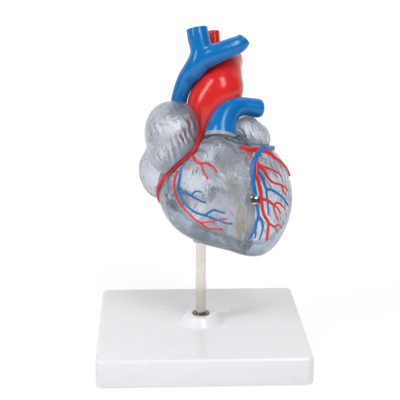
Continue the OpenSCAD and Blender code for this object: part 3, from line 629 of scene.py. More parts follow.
def pin_place(degrees, inset=2.6):
    """Where a pin crosses the parting at that turn round the ventricles, inside the wall."""
    cos, sin = math.cos(math.radians(degrees)), math.sin(math.radians(degrees))
    low, high = 5, 45
    for _ in range(20):
        r = (low + high) / 2
        x, z = ventricles[0][0] + r * cos, ventricles[0][2] + r * sin
        low, high = (r, high) if surface_y(ventricles, x, z) < parting_y(x, z) else (low, r)
    x, z = (ventricles[0][0] + (low - inset) * cos, ventricles[0][2] + (low - inset) * sin)
    return x, parting_y(x, z), z


pin_places = [pin_place(a) for a in (183, 262, 352)]


def pin_form(place, gap):
    return turned(place, (0, -1, 0), [(PIN_R + gap, -PIN_L / 2 - gap), (PIN_R + gap, PIN_L / 2 + gap)], 24)


shell = cushion(ventricles, name="ventricle_shell_piece")
shell_inside = cushion(ventricles, WALL, muscle)
shell_inside.data.flip_normals()
part_of(shell, shell_inside)
for pin_at in pin_places:
    boss_r, boss_end = PIN_R + PIN_BOSS_T, PIN_L / 2 + PIN_BOSS_END
    pin_boss = turned(pin_at, (0, -1, 0), [(boss_r, -boss_end), (boss_r, boss_end)])
    carve(shell, carve(pin_boss, cushion(ventricles, 0.05), how="INTERSECT"), how="UNION")
front = shell.copy()
front.data = shell.data.copy()
front.name = "front_wall_piece"
bpy.context.scene.collection.objects.link(front)
carve(
    shell, front_region(CLEAR_GAP / 2), *(valve_hole(valve) for valve in (tricuspid, mitral, aortic, pulmonic)),
    *(pin_form(pin_at, GLUE_GAP) for pin_at in pin_places), socket_hole(),
)
seat(shell, clear_shell)


# -------- socket
# A clear sleeve, turned from rod and glued into the shell's underside. It drops over the steel rod.

socket = lathe([
    (SOCKET_R - EDGE, SOCKET_MOUTH), (SOCKET_R, SOCKET_MOUTH + EDGE), (SOCKET_R, SOCKET_TOP - EDGE),
    (SOCKET_R - EDGE, SOCKET_TOP),
], name="rod_socket_piece")
carve(socket, lathe([
    (BUSH_BORE + EDGE, SOCKET_MOUTH - 0.1), (BUSH_BORE, SOCKET_MOUTH + EDGE), (BUSH_BORE, rod_high.z / MM + ROD_PLAY),
]))
seat(socket, clear)


# -------- septum
# The wall between the ventricles, moulded in clear plastic, with the muscle's relief on both its faces.
# It is bonded into the rear shell and has a seat for the rear magnet.

SEPTUM_T = 5
SEPTUM_RELIEF = 0.25
MAGNET_R, MAGNET_T, MAGNET_RIM, MAGNET_SKIN = 3.1, 2.5, 1.2, 0.8
MAGNET_X, MAGNET_Z = 29, -9.6
# The skin over the front magnet is measured past its rim, where the form curves back
SKIN_AT = 3
front_magnet_y = float(surface_y(ventricles, MAGNET_X + SKIN_AT, MAGNET_Z - SKIN_AT)) + MAGNET_SKIN
septum_magnet_y = front_magnet_y + MAGNET_T + CLEAR_GAP


def septum_x(y):
    return 27.5 - 0.0075 * (y + 30) ** 2


def septum_band(extra=0):
    """The septum's curved wall, made thicker by extra, with ripples on its faces."""
    y = np.linspace(-34, 30, 81)
    rings = []
    for z in np.linspace(-60, 40, 126):
        ripple = SEPTUM_RELIEF * (np.sin(0.9 * y + 0.5 * z + 1.5 * np.sin(0.17 * z)) + 0.6 * np.sin(1.3 * y - 0.7 * z))
        half = (SEPTUM_T / 2 + extra) * np.ones(len(y)) + ripple
        rings.append(in_heart(np.concatenate([
            np.stack([septum_x(y) - half, y, np.full(len(y), z)], 1),
            np.stack([septum_x(y) + half, y, np.full(len(y), z)], 1)[::-1],
        ])))
    return skin_rings(rings)


def magnet_form(start, reach, radius):
    """A cylinder round the magnets' axis, from the depth start and that far in."""
    return turned((MAGNET_X, start, MAGNET_Z), (0, 1, 0), [(radius, 0), (radius, reach)])


def inside_form(gap=0.05):
    """The hollow of the ventricles."""
    return cushion(ventricles, WALL + gap, relief=muscle)


septum = septum_band()
septum.name = "septum_piece"
carve(septum, magnet_form(septum_magnet_y - 1, MAGNET_T + 3, MAGNET_R + MAGNET_RIM), how="UNION")
carve(septum, inside_form(), how="INTERSECT")
carve(
    septum, magnet_form(septum_magnet_y - CLEAR_GAP, MAGNET_T + CLEAR_GAP, MAGNET_R + GLUE_GAP),
    magnet_form(septum_magnet_y - 40, 40, MAGNET_R + MAGNET_RIM + CLEAR_GAP),
    carve(front_region(CLEAR_GAP), inside_form(CLEAR_GAP)), valve_hole(aortic), valve_hole(mitral), socket_hole(),
)
seat(septum, clear)


# -------- magnets and pins
# Two nickel-plated disc magnets hold the front wall, one in it and one in the septum behind it.
# Three short steel pins in the rear shell line up the front wall.

magnet_nickel = turned_metal("magnet_nickel", "nickel plate", (0.9, 0.89, 0.87), 0.02, 0.08, 0.5, 0.5)


def magnet(name, start):
    """A polished disc with a domed face and a round rear edge."""
    edge = 0.3
    dome = 0.9
    profile = [(max(0.05, MAGNET_R * math.sin(a)), dome * (1 - math.cos(a))) for a in np.linspace(0, math.pi / 2, 10)]
    profile += [(MAGNET_R, MAGNET_T - edge), (MAGNET_R - edge, MAGNET_T), (0.05, MAGNET_T)]
    return turned((MAGNET_X, start, MAGNET_Z), (0, 1, 0), profile, 96, name)


seat(magnet("septum_magnet_piece", septum_magnet_y), magnet_nickel, crisp=60)
for number, pin_at in enumerate(pin_places):
    pin = turned(pin_at, (0, -1, 0), [
        (0.05, -PIN_L / 2), (PIN_R, -PIN_L / 2 + 0.1), (PIN_R, PIN_L / 2 - PIN_R),
        (PIN_R * 0.8, PIN_L / 2 - 0.3 * PIN_R), (0.05, PIN_L / 2),
    ], 24, name=f"locating_pin_{number + 1}")
    seat(pin, rod_steel, stands_for="locating_pins", crisp=50)


# -------- great vessels
# The large vessels are moulded in solid coloured plastic, blue and red, with a gloss.
# Where a vessel ends it has a rounded lip and a mouth that is sunk a little. They are glued into the heart.

def smooth(line, steps):
    """A smooth line through points of any number of values, with steps from each to the next."""
    line = np.asarray(line, float)
    last = len(line) - 1
    made = [
        between(line[max(i - 1, 0)], line[i], line[i + 1], line[min(i + 2, last)], k / steps)
        for i in range(last) for k in range(steps)
    ]
    return np.array(made + [line[-1]])


def rings_along(line, sides):
    """Rings round a line of [x, y, z, radius], each turned as little as can be from the last."""
    middles, radii = line[:, :3], line[:, 3]
    along = np.gradient(middles, axis=0)
    along /= np.linalg.norm(along, axis=1)[:, None]
    side = np.array([1.0, 0, 0]) if abs(along[0][0]) < 0.8 else np.array([0, 0, 1.0])
    turn = np.arange(sides)[:, None] * 2 * math.pi / sides
    rings = []
    for middle, way, radius in zip(middles, along, radii):
        side = side - way * (side @ way)
        side /= np.linalg.norm(side)
        rings.append(middle + radius * (np.cos(turn) * side - np.sin(turn) * np.cross(way, side)))
    return rings


def tube(line, steps=10, sides=48, longer=0, tip=0, name="cutter"):
    """A tube along a smooth line, in the heart's frame. It is made longer by that much, or has tips that stand out
    by that share of its radius."""
    line = smooth(line, steps)
    way = line[-1, :3] - line[-2, :3]
    way /= np.linalg.norm(way)
    if longer:
        line = np.vstack([line, [*(line[-1, :3] + way * longer), line[-1, 3]]])
    if tip:
        ends = []
        for end, out in ((line[0], line[0, :3] - line[1, :3]), (line[-1], way)):
            out = out / np.linalg.norm(out)
            ends.append([
                [*(end[:3] + out * tip * end[3] * math.sin(a)), end[3] * math.cos(a)] for a in (0.4, 0.8, 1.15, 1.45)
            ])
        line = np.vstack([ends[0][::-1], line, ends[1]])
    return skin_rings([in_heart(ring) for ring in rings_along(line, sides)], name)


def blended(name, parts, grain, rounds):
    """Parts that run into each other as one skin: grain is its mesh size in millimetres."""
    piece = parts[0]
    for other in parts[1:]:
        part_of(piece, other)
    piece.name = name
    step = piece.modifiers.new("skin", "REMESH")
    step.mode = "VOXEL"
    step.voxel_size = grain * MM
    step.adaptivity = 0
    soften = piece.modifiers.new("soften", "SMOOTH")
    soften.iterations = rounds
    soften.factor = 0.5
    return settle(piece)


LIP = 1.6
LIP_ROUND = 0.7
MOUTH_DEPTH = 1.2
MOUTH_ROUND = 0.5


def mouth_cutter(line):
    """What is cut away at a vessel's far end: all past its lip, and its mouth."""
    line = smooth(line, 10)
    middle, radius = line[-1, :3], line[-1, 3]
    profile = [(0.1, -MOUTH_DEPTH), (radius - LIP, -MOUTH_DEPTH)]
    for a in np.linspace(0, math.pi / 2, 5):
        profile.append((radius - LIP + MOUTH_ROUND * (1 - math.cos(a)), MOUTH_ROUND * (math.sin(a) - 1)))
    for a in np.linspace(0, math.pi / 2, 6):
        profile.append((radius - LIP_ROUND * (1 - math.sin(a)), -LIP_ROUND * (1 - math.cos(a))))
    profile += [(radius + 5, -LIP_ROUND), (radius + 5, 12), (0.1, 12)]
    return turned(middle, middle - line[-2, :3], profile, 64)


cava_line = [
    [-13, 3, 43, 4.7], [-11.7, 1.5, 50, 4.8], [-10, -0.5, 55.3, 5], [-7.1, -3, 61, 5.6],
    [-3.7, -6, 65, 6.3], [-0.7, -8, 69.5, 6.6], [0.6, -9, 75.5, 6.2], [-0.8, -9, 83, 6.4], [-1.8, -9, 88.7, 6.1],
]
left_brachial_line = [
    [-1, -8, 69.5, 5.8], [4.6, -10, 71.8, 6], [9, -11, 73.8, 5.9], [17.8, -11, 77.2, 5.5],
    [21.3, -10.7, 78.7, 5.2], [23.4, -10.3, 80.2, 4.7], [25.1, -10, 82.1, 4.1],
]
lower_cava_line = [[-17, 14, 4, 6], [-16, 18, -3, 6.2], [-15, 21.5, -9, 6.3], [-14.5, 24, -14, 6.3]]
aorta_line = [
    [2, 0, 26, 8.6], [2.2, 0, 32, 9.2], [2.8, -0.5, 39, 10.6], [5.2, -1, 47, 12.4], [11.3, 0, 55, 13.8],
    [13.3, 2.3, 62.5, 11.4], [13.9, 5.5, 68.5, 10.4], [15.2, 12, 72, 10.6], [16, 19.5, 71, 9.4], [17.2, 25.5, 64, 8.7],
    [17.4, 28, 55, 8.2], [17.2, 28.5, 45, 7.8],
]
arch_branches = [
    [[9, 5, 72, 3.9], [8.7, 5, 80, 3.7], [8.4, 5, 89, 3.5]],
    [[15.5, 12, 76, 3], [15.3, 12.5, 80, 2.8], [15, 13, 84, 2.7]],
    [[18, 19, 74, 3.2], [20, 20.5, 79, 3], [21.5, 21.5, 84, 2.9]],
]
trunk_line = [
    [10.7, -12.6, 25.5, 9.2], [11.1, -11.7, 29, 9.1], [11.8, -10.7, 32.6, 8.6], [12.9, -9.7, 36, 8],
    [15, -8.2, 40, 7.4], [18.8, -6.6, 43.1, 6.7], [23.7, -5, 44.2, 5.6], [28.8, -4, 44, 5.3],
    [31.8, -3, 43.4, 5.7], [34.2, -2.7, 43.3, 5.5],
]
right_pulmonary_line = [[21, -5, 43.5, 5], [19, 6, 44, 5], [12, 14, 44, 5], [3, 16.5, 44, 5], [-7, 18, 43, 4.8]]
vein_lines = [
    [[2, 26, 26, 3], [-6, 29, 28, 3.4], [-13, 31, 29, 3.4]],
    [[2, 27, 14, 3], [-6, 30.5, 13.5, 3.4], [-12, 33, 13, 3.4]],
    [[25, 25, 25, 3], [30, 29, 26, 3.4], [34, 33, 26.5, 3.4]],
    [[25, 26, 14, 3], [30, 30.5, 14, 3.4], [33, 35, 14, 3.4]],
]

blue = moulded_plastic("blue_plastic", "blue vessel plastic", (0.0, 0.17, 0.5), 0.15, 9, 0.14, 0.04, 0)
red = moulded_plastic("red_plastic", "red vessel plastic", (0.74, 0.02, 0.018), 0.15, 9, 0.14, 0.04, 0)
VESSEL_GRAIN = 0.6
VESSEL_BED = 0.15
TRUNK_FOOT = -1.8


def vessel_tree(name, lines, forms, rounds=5, closed=()):
    """Great vessels that run into each other, bedded on forms. Each of lines ends in a mouth, and each of closed is
    round at both ends."""
    tubes = [tube(line, longer=4) for line in lines] + [tube(line, tip=0.5) for line in closed]
    tree = blended(name, tubes, VESSEL_GRAIN, rounds)
    return carve(tree, *map(mouth_cutter, lines), *(cushion(form, VESSEL_BED) for form in forms))


upper_cava = vessel_tree(
    "vena_cava_superior_piece", [cava_line, left_brachial_line], (right_auricle, right_chamber), 25
)
seat(upper_cava, blue)
seat(vessel_tree("vena_cava_inferior_piece", [lower_cava_line], (right_chamber, ventricles)), blue)
aorta = vessel_tree("aorta_piece", [aorta_line, *arch_branches], (right_auricle, right_chamber, ventricles), 12)
seat(aorta, red)


def below_trunk_foot():
    return turned(pulmonic[0], pulmonic[1], [(25, -60), (25, TRUNK_FOOT)])


trunk = vessel_tree(
    "pulmonary_trunk_piece", [right_pulmonary_line], (right_auricle, left_auricle, ventricles), 30, [trunk_line]
)
carve(trunk, below_trunk_foot(), lift_path(CLEAR_GAP), valve_hole(pulmonic))
seat(trunk, blue)
for number, line in enumerate(vein_lines):
    vein = vessel_tree(f"pulmonary_vein_{number + 1}", [line], (left_chamber, right_chamber, left_auricle))
    seat(vein, red, stands_for="pulmonary_veins")


# -------- collar
# A clear ring that carries the blue trunk. It is moulded on the heart, above the front wall's edge.

collar = tube(trunk_line, name="trunk_collar_piece")
carve(collar, below_trunk_foot(), how="INTERSECT")
carve(
    collar, valve_hole(pulmonic), cushion(ventricles), front_region(CLEAR_GAP), tube(aorta_line), cushion(left_auricle)
)
# Its second colour is painted shade where the collar is seen on edge.
clear_frosted = clear_plastic("frosted collar plastic", (0.6, 0.64, 0.72), (0.5, 0.55, 0.64), 0.25, 0.1, 0.5)
seat(collar, clear_frosted)


# -------- atria
# Each atrium is a clear shell of two chambers that run into each other. Ridges run over the auricles' inside.
# They are glued over the back and top of the ventricles' shell.

def auricle_ridges(points):
    """Fine uneven ridges that run down the auricle and fade out over its top."""
    x, y, z = points.T
    lower = np.clip((40 - z) / 8, 0.3, 1)
    across = 1.9 * x + 0.75 * z + 1.1 * np.sin(0.33 * z + 0.2 * x) + 0.6 * np.sin(0.71 * x - 0.45 * z)
    share = 0.45 + 0.4 * np.sin(0.35 * x - 0.3 * z + 0.8) + 0.15 * np.sin(0.9 * z + 0.5 * x)
    return lower * 0.3 * share * (np.sin(across) + 0.4 * np.sin(2.3 * across + z)) + 0.25 * np.sin(0.3 * z - 0.4 * x)


def atrium(name, auricle, chamber, *cutters):
    """Two chambers that run into each other as one shell, cut by cutters."""
    whole = carve(cushion(auricle, name=name), cushion(chamber), how="UNION")
    carve(whole, cushion(auricle, WALL, auricle_ridges), cushion(chamber, WALL), cushion(ventricles), *cutters)
    seat(whole, clear_atrium)


CORONARY_R = 1.3
# Its second colour is painted shade where the atria are seen on edge.
clear_atrium = clear_plastic("clear atrium plastic", (0.88, 0.9, 0.94), (0.62, 0.67, 0.78), 0.03, 0.5)
atrium(
    "right_atrium_piece", right_auricle, right_chamber, lift_path(2 * CORONARY_R + CLEAR_GAP), valve_hole(tricuspid),
    valve_hole(aortic)
)
atrium(
    "left_atrium_piece", left_auricle, left_chamber, cushion(right_chamber), lift_path(CLEAR_GAP), valve_hole(mitral),
    tube(aorta_line)
)


# -------- valves
# Four rings with thin leaves, each moulded in one piece of clear plastic and glued into its opening.

LEAF_T = 0.45
LEAF_GAP = 0.08
VALVE_GRAIN = 0.16


def leaf(valve, start, sweep, length):
    """A thin leaf from a valve's ring, over a sweep of turn, that narrows to its free edge in the flow."""
    at, to, radius = valve
    turn = Vector(to).to_track_quat("Z", "Y").to_matrix()
    down = np.linspace(0, 1, 8)
    rings = []
    for u in np.linspace(0, 1, 21):
        reach = 0.45 + 0.55 * math.sin(math.pi * u) ** 0.7
        r = radius - 0.9 - (radius * 0.65 - 0.9) * reach * down ** 1.2
        h = RING_H / 2 - 0.6 + (length + 0.6) * reach * np.sin(down * math.pi / 2)
        section = np.concatenate([np.stack([r, h], 1), np.stack([r - LEAF_T, h - 0.25], 1)[::-1]])
        a = start + sweep * u
        rings.append(in_heart([Vector(at) + turn @ Vector((q * math.cos(a), q * math.sin(a), t)) for q, t in section]))
    return skin_rings(rings)


for name, valve, leaves, length in (
    ("tricuspid_valve", tricuspid, 3, 7.5), ("mitral_valve", mitral, 2, 7.5),
    ("aortic_valve", aortic, 3, 3), ("pulmonary_valve", pulmonic, 3, 3),
):
    at, to, radius = valve
    ring = turned(at, to, [(radius, -RING_H / 2), (radius, RING_H / 2)])
    carve(ring, turned(at, to, [(radius - RING_T, -RING_H), (radius - RING_T, RING_H)]))
    sweep = 2 * math.pi / leaves
    parts = [leaf(valve, k * sweep + LEAF_GAP, sweep - 2 * LEAF_GAP, length) for k in range(leaves)]
    seat(blended(name + "_piece", [ring, *parts], VALVE_GRAIN, 2), clear)


# -------- papillary muscles
# Four clear cones that rise from the ventricles' walls, each with two thin cords to a valve's leaf.

MUSCLE_GRAIN = 0.25
CORD_R = 0.4
CORD_SPREAD = np.array([2.0, 0, 0])
muscles = [
    [[-13, 0, -24], [-6, 1, -10], [-12, 2, 6]],
    [[7, -8, -33], [4, -5, -18], [-8, 4, 4]],
    [[44, 6, -20], [34, 8, -6], [23, 12, 12]],
    [[28, 18, -28], [25, 14, -10], [18, 10, 12]],
]
for number, (foot_at, tip_at, leaf_at) in enumerate(np.array(muscles, float)):
    middle_at = (foot_at + tip_at) / 2
    parts = [tube([[*foot_at, 3.7], [*middle_at, 2.5], [*tip_at, 1.2]], 8, 24, tip=1)]
    parts += [
        tube([
            [*(tip_at * 0.95 + foot_at * 0.05), 0.6], [*((tip_at + leaf_at) / 2 + side / 2), CORD_R],
            [*(leaf_at + side), CORD_R],
        ], 6, 12)
        for side in (-CORD_SPREAD, CORD_SPREAD)
    ]
    cone = blended(f"papillary_muscle_{number + 1}", parts, MUSCLE_GRAIN, 3)
    carve(cone, inside_form(), how="INTERSECT")
    carve(cone, septum_band(0.1), valve_hole(tricuspid), valve_hole(mitral))
    seat(cone, clear, stands_for="papillary_muscles")


# -------- conducting system
# Yellow raised lines. They start at the sinus node, on the back of the right atrium, and run on to the bundle
# and its branches on both faces of the septum.

def on_form(form, side, root, tip, points, raised=0):
    """A line of [x, z] on a form, as [x, y, z, radius], from its root's to its tip's radius. Its root is raised."""
    share = np.linspace(1, 0, len(points))
    return [
        [x, float(surface_y(form, x, z, side)) + side * raised * s * s * s, z, tip + (root - tip) * s]
        for (x, z), s in zip(points, share)
    ]


yellow = moulded_plastic("yellow_plastic", "yellow line plastic", (0.78, 0.58, 0.04), 0.15, 6, 0.25, 0.05, 0.3)
LINE_GRAIN = 0.2
node_x, node_z = -20, 28
node_y = float(surface_y(right_chamber, node_x, node_z, 1))
sinus = blended("sinus_node_piece", [
    tube([[node_x, node_y, node_z - 2, 2.2], [node_x, node_y, node_z + 2, 2.2]], 4, 24, tip=1),
    *[tube(on_form(right_chamber, 1, 0.7, 0.7, line), 8, 12, tip=1) for line in (
        [[-21, 27.5], [-25, 23], [-26, 16], [-21, 8]], [[-19, 27.5], [-18, 23], [-17, 15], [-15, 7]],
    )],
], LINE_GRAIN, 2)
carve(sinus, cushion(right_auricle, -0.05), cushion(right_chamber, -0.05))
seat(sinus, yellow)

# Each is the side of the septum that it lies on, and its lines of [y, z] with one radius
for name, side, lines in (
    ("av_bundle", -1, [(1.8, [[13, 16], [11, 14]]), (0.9, [[11.5, 14.5], [8, 10], [5, 6]])]),
    ("right_bundle_branch", -1, [
        (1, [[4.6, 5.5], [0, -2], [-6, -12], [-9, -24], [-6, -33]]), (0.9, [[-6, -12], [-13, -18], [-17, -26]]),
        (0.7, [[-8, -20], [-1, -27]]),
    ]),
    ("left_bundle_branch", 1, [
        (0.7, [[7, 9], [2, 1], [-3, -10], [-5, -24], [-3, -35]]), (0.7, [[2, 1], [10, -8], [15, -18], [13, -28]]),
        (0.7, [[-3, -10], [-12, -16], [-15, -26]]), (0.7, [[13, -14], [19, -17]]),
    ]),
):
    tubes = [
        tube([[septum_x(y) + side * SEPTUM_T / 2, y, z, r] for y, z in smooth(line, 3)], 3, 12, tip=1)
        for r, line in lines
    ]
    branch = blended(name + "_piece", tubes, LINE_GRAIN, 2)
    carve(branch, septum_band(0.02))
    carve(branch, inside_form(), how="INTERSECT")
    seat(branch, yellow)


# -------- vessels on the surface
# The coronary vessels are raised lines on the clear shells, painted red and blue.

CORONARY_GRAIN = 0.22


def coronary_tree(name, side, lines):
    tubes = [tube(on_form(ventricles, side, *line), 8, 16, tip=1) for line in lines]
    return blended(name, tubes, CORONARY_GRAIN, 2)


right_coronary_front = [
    [-1.1, 25.5], [-4.1, 19.3], [-9.4, 14.5], [-14.7, 9.9], [-19, 5.7], [-22.6, 1.5], [-24.4, -2.7],
]
right_coronary_back = [[-23.5, -9], [-18, -13.5], [-10, -13], [-4, -9.5]]
marginal_lines = [
    [0.7, 0.5, [[-13.6, 7.2], [-15.4, 2], [-15.2, -4], [-13.9, -8.2], [-11.5, -12.3], [-7.9, -16.2], [-4.5, -19.5],
        [-0.9, -22], [1.9, -24.1], [5, -25.2], [11, -25.4]]],
    [0.5, 0.4, [[-1.6, -21.6], [2.6, -21.5], [6.4, -20.7], [10.3, -20], [13.5, -19.6]]],
    [0.9, 0.6, [[-5.2, 15.6], [-3.6, 13], [-0.7, 11.3], [2.1, 11.6], [5.3, 9.4], [8, 6.7]]],
    [0.6, 0.5, [[-0.7, 10.8], [1, 6.1], [3, 2.6]]],
]
left_coronary_lines = [
    [1, 1.5, [[21.5, 20.2], [25.9, 19.2], [31.3, 19]]],
    [0.7, 0.5, [[25, 18.6], [26.5, 15.6], [26.8, 12.8]]],
    [1.5, 0.8, [[31.3, 19], [36.2, 18], [39.1, 16.5], [41.9, 14.2], [45.5, 11.9], [49.1, 8], [51.6, 3.2]]],
    [1.2, 0.8, [[31.3, 19], [30.3, 11], [30.1, 5.3], [31.2, 0.6], [32.3, -4.8], [32.8, -10.4], [33.5, -15],
        [34.8, -18.6], [36.9, -22.2], [36.6, -26.9], [36.4, -31.5]]],
    [0.7, 0.5, [[36.9, -22.2], [40.3, -24.2], [42.9, -23.5], [45.3, -25]]],
    [0.5, 0.4, [[40.3, -24.2], [41.7, -25.9], [42.6, -27.6]]],
    [0.9, 0.5, [[32.8, -8.8], [36.4, -9.6], [39.7, -12], [42.2, -10.9], [44.9, -12.5], [46.7, -14.5]]],
    [0.6, 0.5, [[39.7, -12], [42.6, -14.4], [44, -16.8]]],
    [0.6, 0.5, [[39.7, -12], [40.5, -15.9], [42.8, -20.7]]],
    [0.9, 0.6, [[30.6, 10], [34.3, 7.3], [36.6, 3.3], [39.4, 0.6], [44.6, -1], [47.2, -2.5], [48.5, -4.1]]],
    [0.6, 0.5, [[44.6, -1], [45.8, -4.1], [47.6, -6.9]]],
    [0.8, 0.5, [[31, 11], [33.8, 9.4], [37.6, 8.1], [41.8, 6.5], [45.2, 3.8]]],
]
great_vein_lines = [
    [1.6, 0.7, [[41, 20.3], [36.1, 20], [33.8, 19.3], [31.5, 16.5], [29.6, 13.2], [28.3, 9.6], [27.7, 5.3],
        [28.2, -0.2], [29.1, -5.6], [30.3, -12.7], [30.9, -18.1], [29.9, -22], [29.2, -26], [27.3, -28.7],
        [25.8, -31.1]], 1.6],
    [0.6, 0.5, [[29.2, -26], [29.7, -28.3], [29.1, -30.7]]],
    [0.8, 0.5, [[30.9, -18.1], [33.2, -21.3], [33.6, -24.9], [32.9, -28.4], [31.8, -31.4]]],
    [1, 0.6, [[29.2, 10.4], [31.8, 6.1], [33.7, 2.2], [35.6, -2.9], [38.9, -3.8], [42.7, -6.1], [46.2, -8.9],
        [48.7, -12.5]]],
    [0.7, 0.5, [[35.6, -2.9], [35.8, -6.4], [36.4, -12], [36.8, -17.8]]],
]
small_vein_lines = [
    [0.8, 0.6, [[-11.5, 9.4], [-12.3, 4.8], [-13.1, 0.5], [-13.3, -3.7], [-12.1, -7], [-10.1, -10.2], [-7.3, -13.4],
        [-3.8, -15.9], [0.8, -17.4], [3.3, -16], [6.1, -14.6], [9.6, -15.7], [12, -16.4]]],
    [0.7, 0.5, [[0.8, -17.4], [2.6, -18.1], [6.1, -19.4], [9.7, -20.9], [13.2, -22.1], [16.4, -22.4]]],
    [0.7, 0.5, [[-13.2, -3.7], [-10.7, -4.5], [-7.9, -5.9], [-6.2, -6.7], [-5.1, -4.9], [-3, -4.1], [-0.9, -4.6]]],
    [0.6, 0.5, [[-6.2, -6.7], [-3.8, -8.2], [-1, -9.6], [1.5, -10.6]]],
]
rear_artery_lines = [
    [1.1, 0.6, [[-3, -10.6], [1, -12], [4, -19], [8, -26], [13, -33]]],
    [0.7, 0.5, [[4, -19], [-3, -23], [-7, -28]]],
    [1.1, 0.6, [[48, 9], [41, 8], [34, 2], [27, -3.5], [20, -6], [17, -12]]],
    [0.8, 0.5, [[36, 4], [38, -5], [37, -15]]],
    [0.8, 0.5, [[28, -3], [30, -12], [29, -22], [31, -29]]],
]
rear_vein_lines = [
    [1.2, 2.1, [[42, 16], [40, 11], [35, 6], [27, 0.5], [18, -2.5], [9.5, -4.8], [1, -6.5]]],
    [1.2, 0.7, [[2, -7], [7, -14], [10.5, -21], [14, -27], [18, -34]]],
    [0.9, 0.6, [[18, -3], [22, -10], [24, -19], [23, -27]]],
    [0.9, 0.5, [[36, 6.5], [42, -2], [42.5, -12]]],
]
right_coronary_line = [
    [1.5, -7.5, 29.5, CORONARY_R],
    *on_form(ventricles, -1, CORONARY_R, CORONARY_R, right_coronary_front),
    *on_form(ventricles, 1, CORONARY_R, 1.1, right_coronary_back),
]
right_coronary_tube = tube(right_coronary_line, 10, 24, tip=1)
right_coronary = blended("right_coronary_artery_piece", [right_coronary_tube], CORONARY_GRAIN, 2)
seat(carve(right_coronary, front_region(CLEAR_GAP)), red)
seat(coronary_tree("rear_coronary_arteries_piece", 1, rear_artery_lines), red)
seat(coronary_tree("rear_cardiac_veins_piece", 1, rear_vein_lines), blue)


# -------- front wall
# The front of both ventricles in one clear piece, which a magnet holds. It carries the vessels on its face.

# The hole in the skin over the magnet is this much smaller than it, and the vessels keep this far off it
MAGNET_BEZEL = 0.2
SLOT_REACH = 12
magnet_seat = magnet_form(front_magnet_y - 1, MAGNET_T + 1, MAGNET_R + MAGNET_RIM)
carve(front, carve(magnet_seat, cushion(ventricles, 0.05), how="INTERSECT"), how="UNION")
carve(
    front, magnet_form(front_magnet_y, MAGNET_T + 1, MAGNET_R + GLUE_GAP),
    magnet_form(front_magnet_y - 5, 6, MAGNET_R - MAGNET_BEZEL), *(pin_form(pin_at, CLEAR_GAP) for pin_at in pin_places)
)
# The wall slides off past the pulmonary valve, so its cut-out is a slot
at, to, radius = pulmonic
for back in range(0, SLOT_REACH + 1, 2):
    carve(front, valve_hole(((at[0], at[1] + back, at[2]), to, radius), CLEAR_GAP))
carve(front, front_region(-CLEAR_GAP / 2), how="INTERSECT")
seat(front, clear, "front_wall")
seat(magnet("front_magnet_piece", front_magnet_y), magnet_nickel, "front_wall", crisp=60)
for name, lines, stuff in (
    ("marginal_artery_piece", marginal_lines, red), ("left_coronary_artery_piece", left_coronary_lines, red),
    ("great_cardiac_vein_piece", great_vein_lines, blue), ("small_cardiac_vein_piece", small_vein_lines, blue),
):
    tree = carve(coronary_tree(name, -1, lines), front_region(-CLEAR_GAP / 2), how="INTERSECT")
    carve(tree, magnet_form(front_magnet_y - 9, 12, MAGNET_R + MAGNET_BEZEL))
    seat(tree, stuff, "front_wall")


# -------- floor, backdrop and light
# The model stands on a white sweep. The room in front of it is dimmer, and two soft lamps light it.

ROOM = 0.08
FILL = 0.4
SWEEP_HALF = 2000
LAMP_AIM = Vector((0, 0, 0.12))

floor_corners = [(x * SWEEP_HALF, y * SWEEP_HALF, 0) for x, y in ((-1, -1), (1, -1), (1, 1), (-1, 1))]
floor = new_piece(floor_corners, [[0, 1, 2, 3]], "floor")


def seen_directly(tree):
    """1 for a ray from the camera, or from a mirror or through glass, and 0 for diffuse light."""
    ray = node(tree, "LightPath")
    direct, mirrored, through = (ray.outputs[f"Is {kind} Ray"] for kind in ("Camera", "Glossy", "Transmission"))
    either = node(tree, "Math", {0: direct, 1: mirrored}, operation="MAXIMUM")
    return node(tree, "Math", {0: either.outputs[0], 1: through}, operation="MAXIMUM").outputs[0]


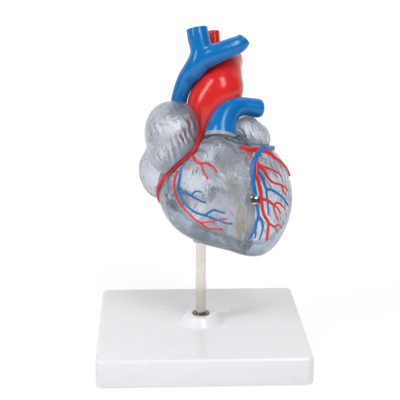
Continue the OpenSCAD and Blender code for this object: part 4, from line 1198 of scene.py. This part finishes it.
floor_material, floor_tree, floor_surface = shader("floor")
seen = seen_directly(floor_tree)
shades = {"A": (0.8, 0.8, 0.8, 1), "B": (0.3, 0.3, 0.3, 1), "Factor": seen}
floor_white = node(floor_tree, "Mix", shades, data_type="RGBA")
from_model = node(floor_tree, "VectorMath", {0: node(floor_tree, "TexCoord").outputs["Object"]}, operation="LENGTH")
far_glow = node(floor_tree, "MapRange", {
    "From Min": 0.15, "From Max": 0.9, "To Min": 0.76, "To Max": 0.92, "Value": from_model.outputs["Value"],
})
glow = node(floor_tree, "Math", {0: seen, 1: far_glow.outputs[0]}, operation="MULTIPLY")
feed(floor_tree, floor_surface, {
    "Base Color": floor_white.outputs["Result"], "Emission Strength": glow.outputs[0], "Roughness": 0.9,
    "Emission Color": (1, 1, 1, 1),
})
floor.data.materials.append(floor_material)

world = bpy.data.worlds.new("studio")
bpy.context.scene.world = world
world.use_nodes = True
sky = world.node_tree
way = node(sky, "TexCoord")
parts_of_way = node(sky, "SeparateXYZ", {0: way.outputs["Generated"]})
behind = node(sky, "MapRange", {
    "From Min": -0.1, "From Max": 0.6, "To Min": ROOM, "To Max": 1, "Value": parts_of_way.outputs["Y"],
}, interpolation_type="SMOOTHSTEP")
straight = node(sky, "LightPath")
backdrop = node(sky, "Mix", {"B": 1.0, "Factor": straight.outputs["Is Camera Ray"], "A": behind.outputs[0]})
fill = node(sky, "Mix", {"A": FILL, "Factor": seen_directly(sky), "B": backdrop.outputs[0]})
feed(sky, sky.nodes["Background"], {"Strength": fill.outputs[0], "Color": (1, 1, 1, 1)})


def softbox(name, turn, rise, distance, size, radiance):
    """A soft lamp at turn degrees to the right of the model's front and rise degrees up, that faces the heart."""
    lamp = bpy.data.objects.new(name, bpy.data.lights.new(name, "AREA"))
    bpy.context.scene.collection.objects.link(lamp)
    lamp.data.shape = "RECTANGLE"
    lamp.data.size, lamp.data.size_y = size
    lamp.data.energy = radiance * math.pi * size[0] * size[1]
    way = outwards(turn, rise)
    lamp.location = LAMP_AIM + way * distance
    lamp.rotation_euler = way.to_track_quat("Z", "Y").to_euler()


softbox("left_softbox", -57, 35, 1.0, (0.28, 0.7), 7)
softbox("front_softbox", 24, 48, 1.1, (0.32, 0.85), 6.9)

bpy.context.scene.view_settings.view_transform = "Standard"
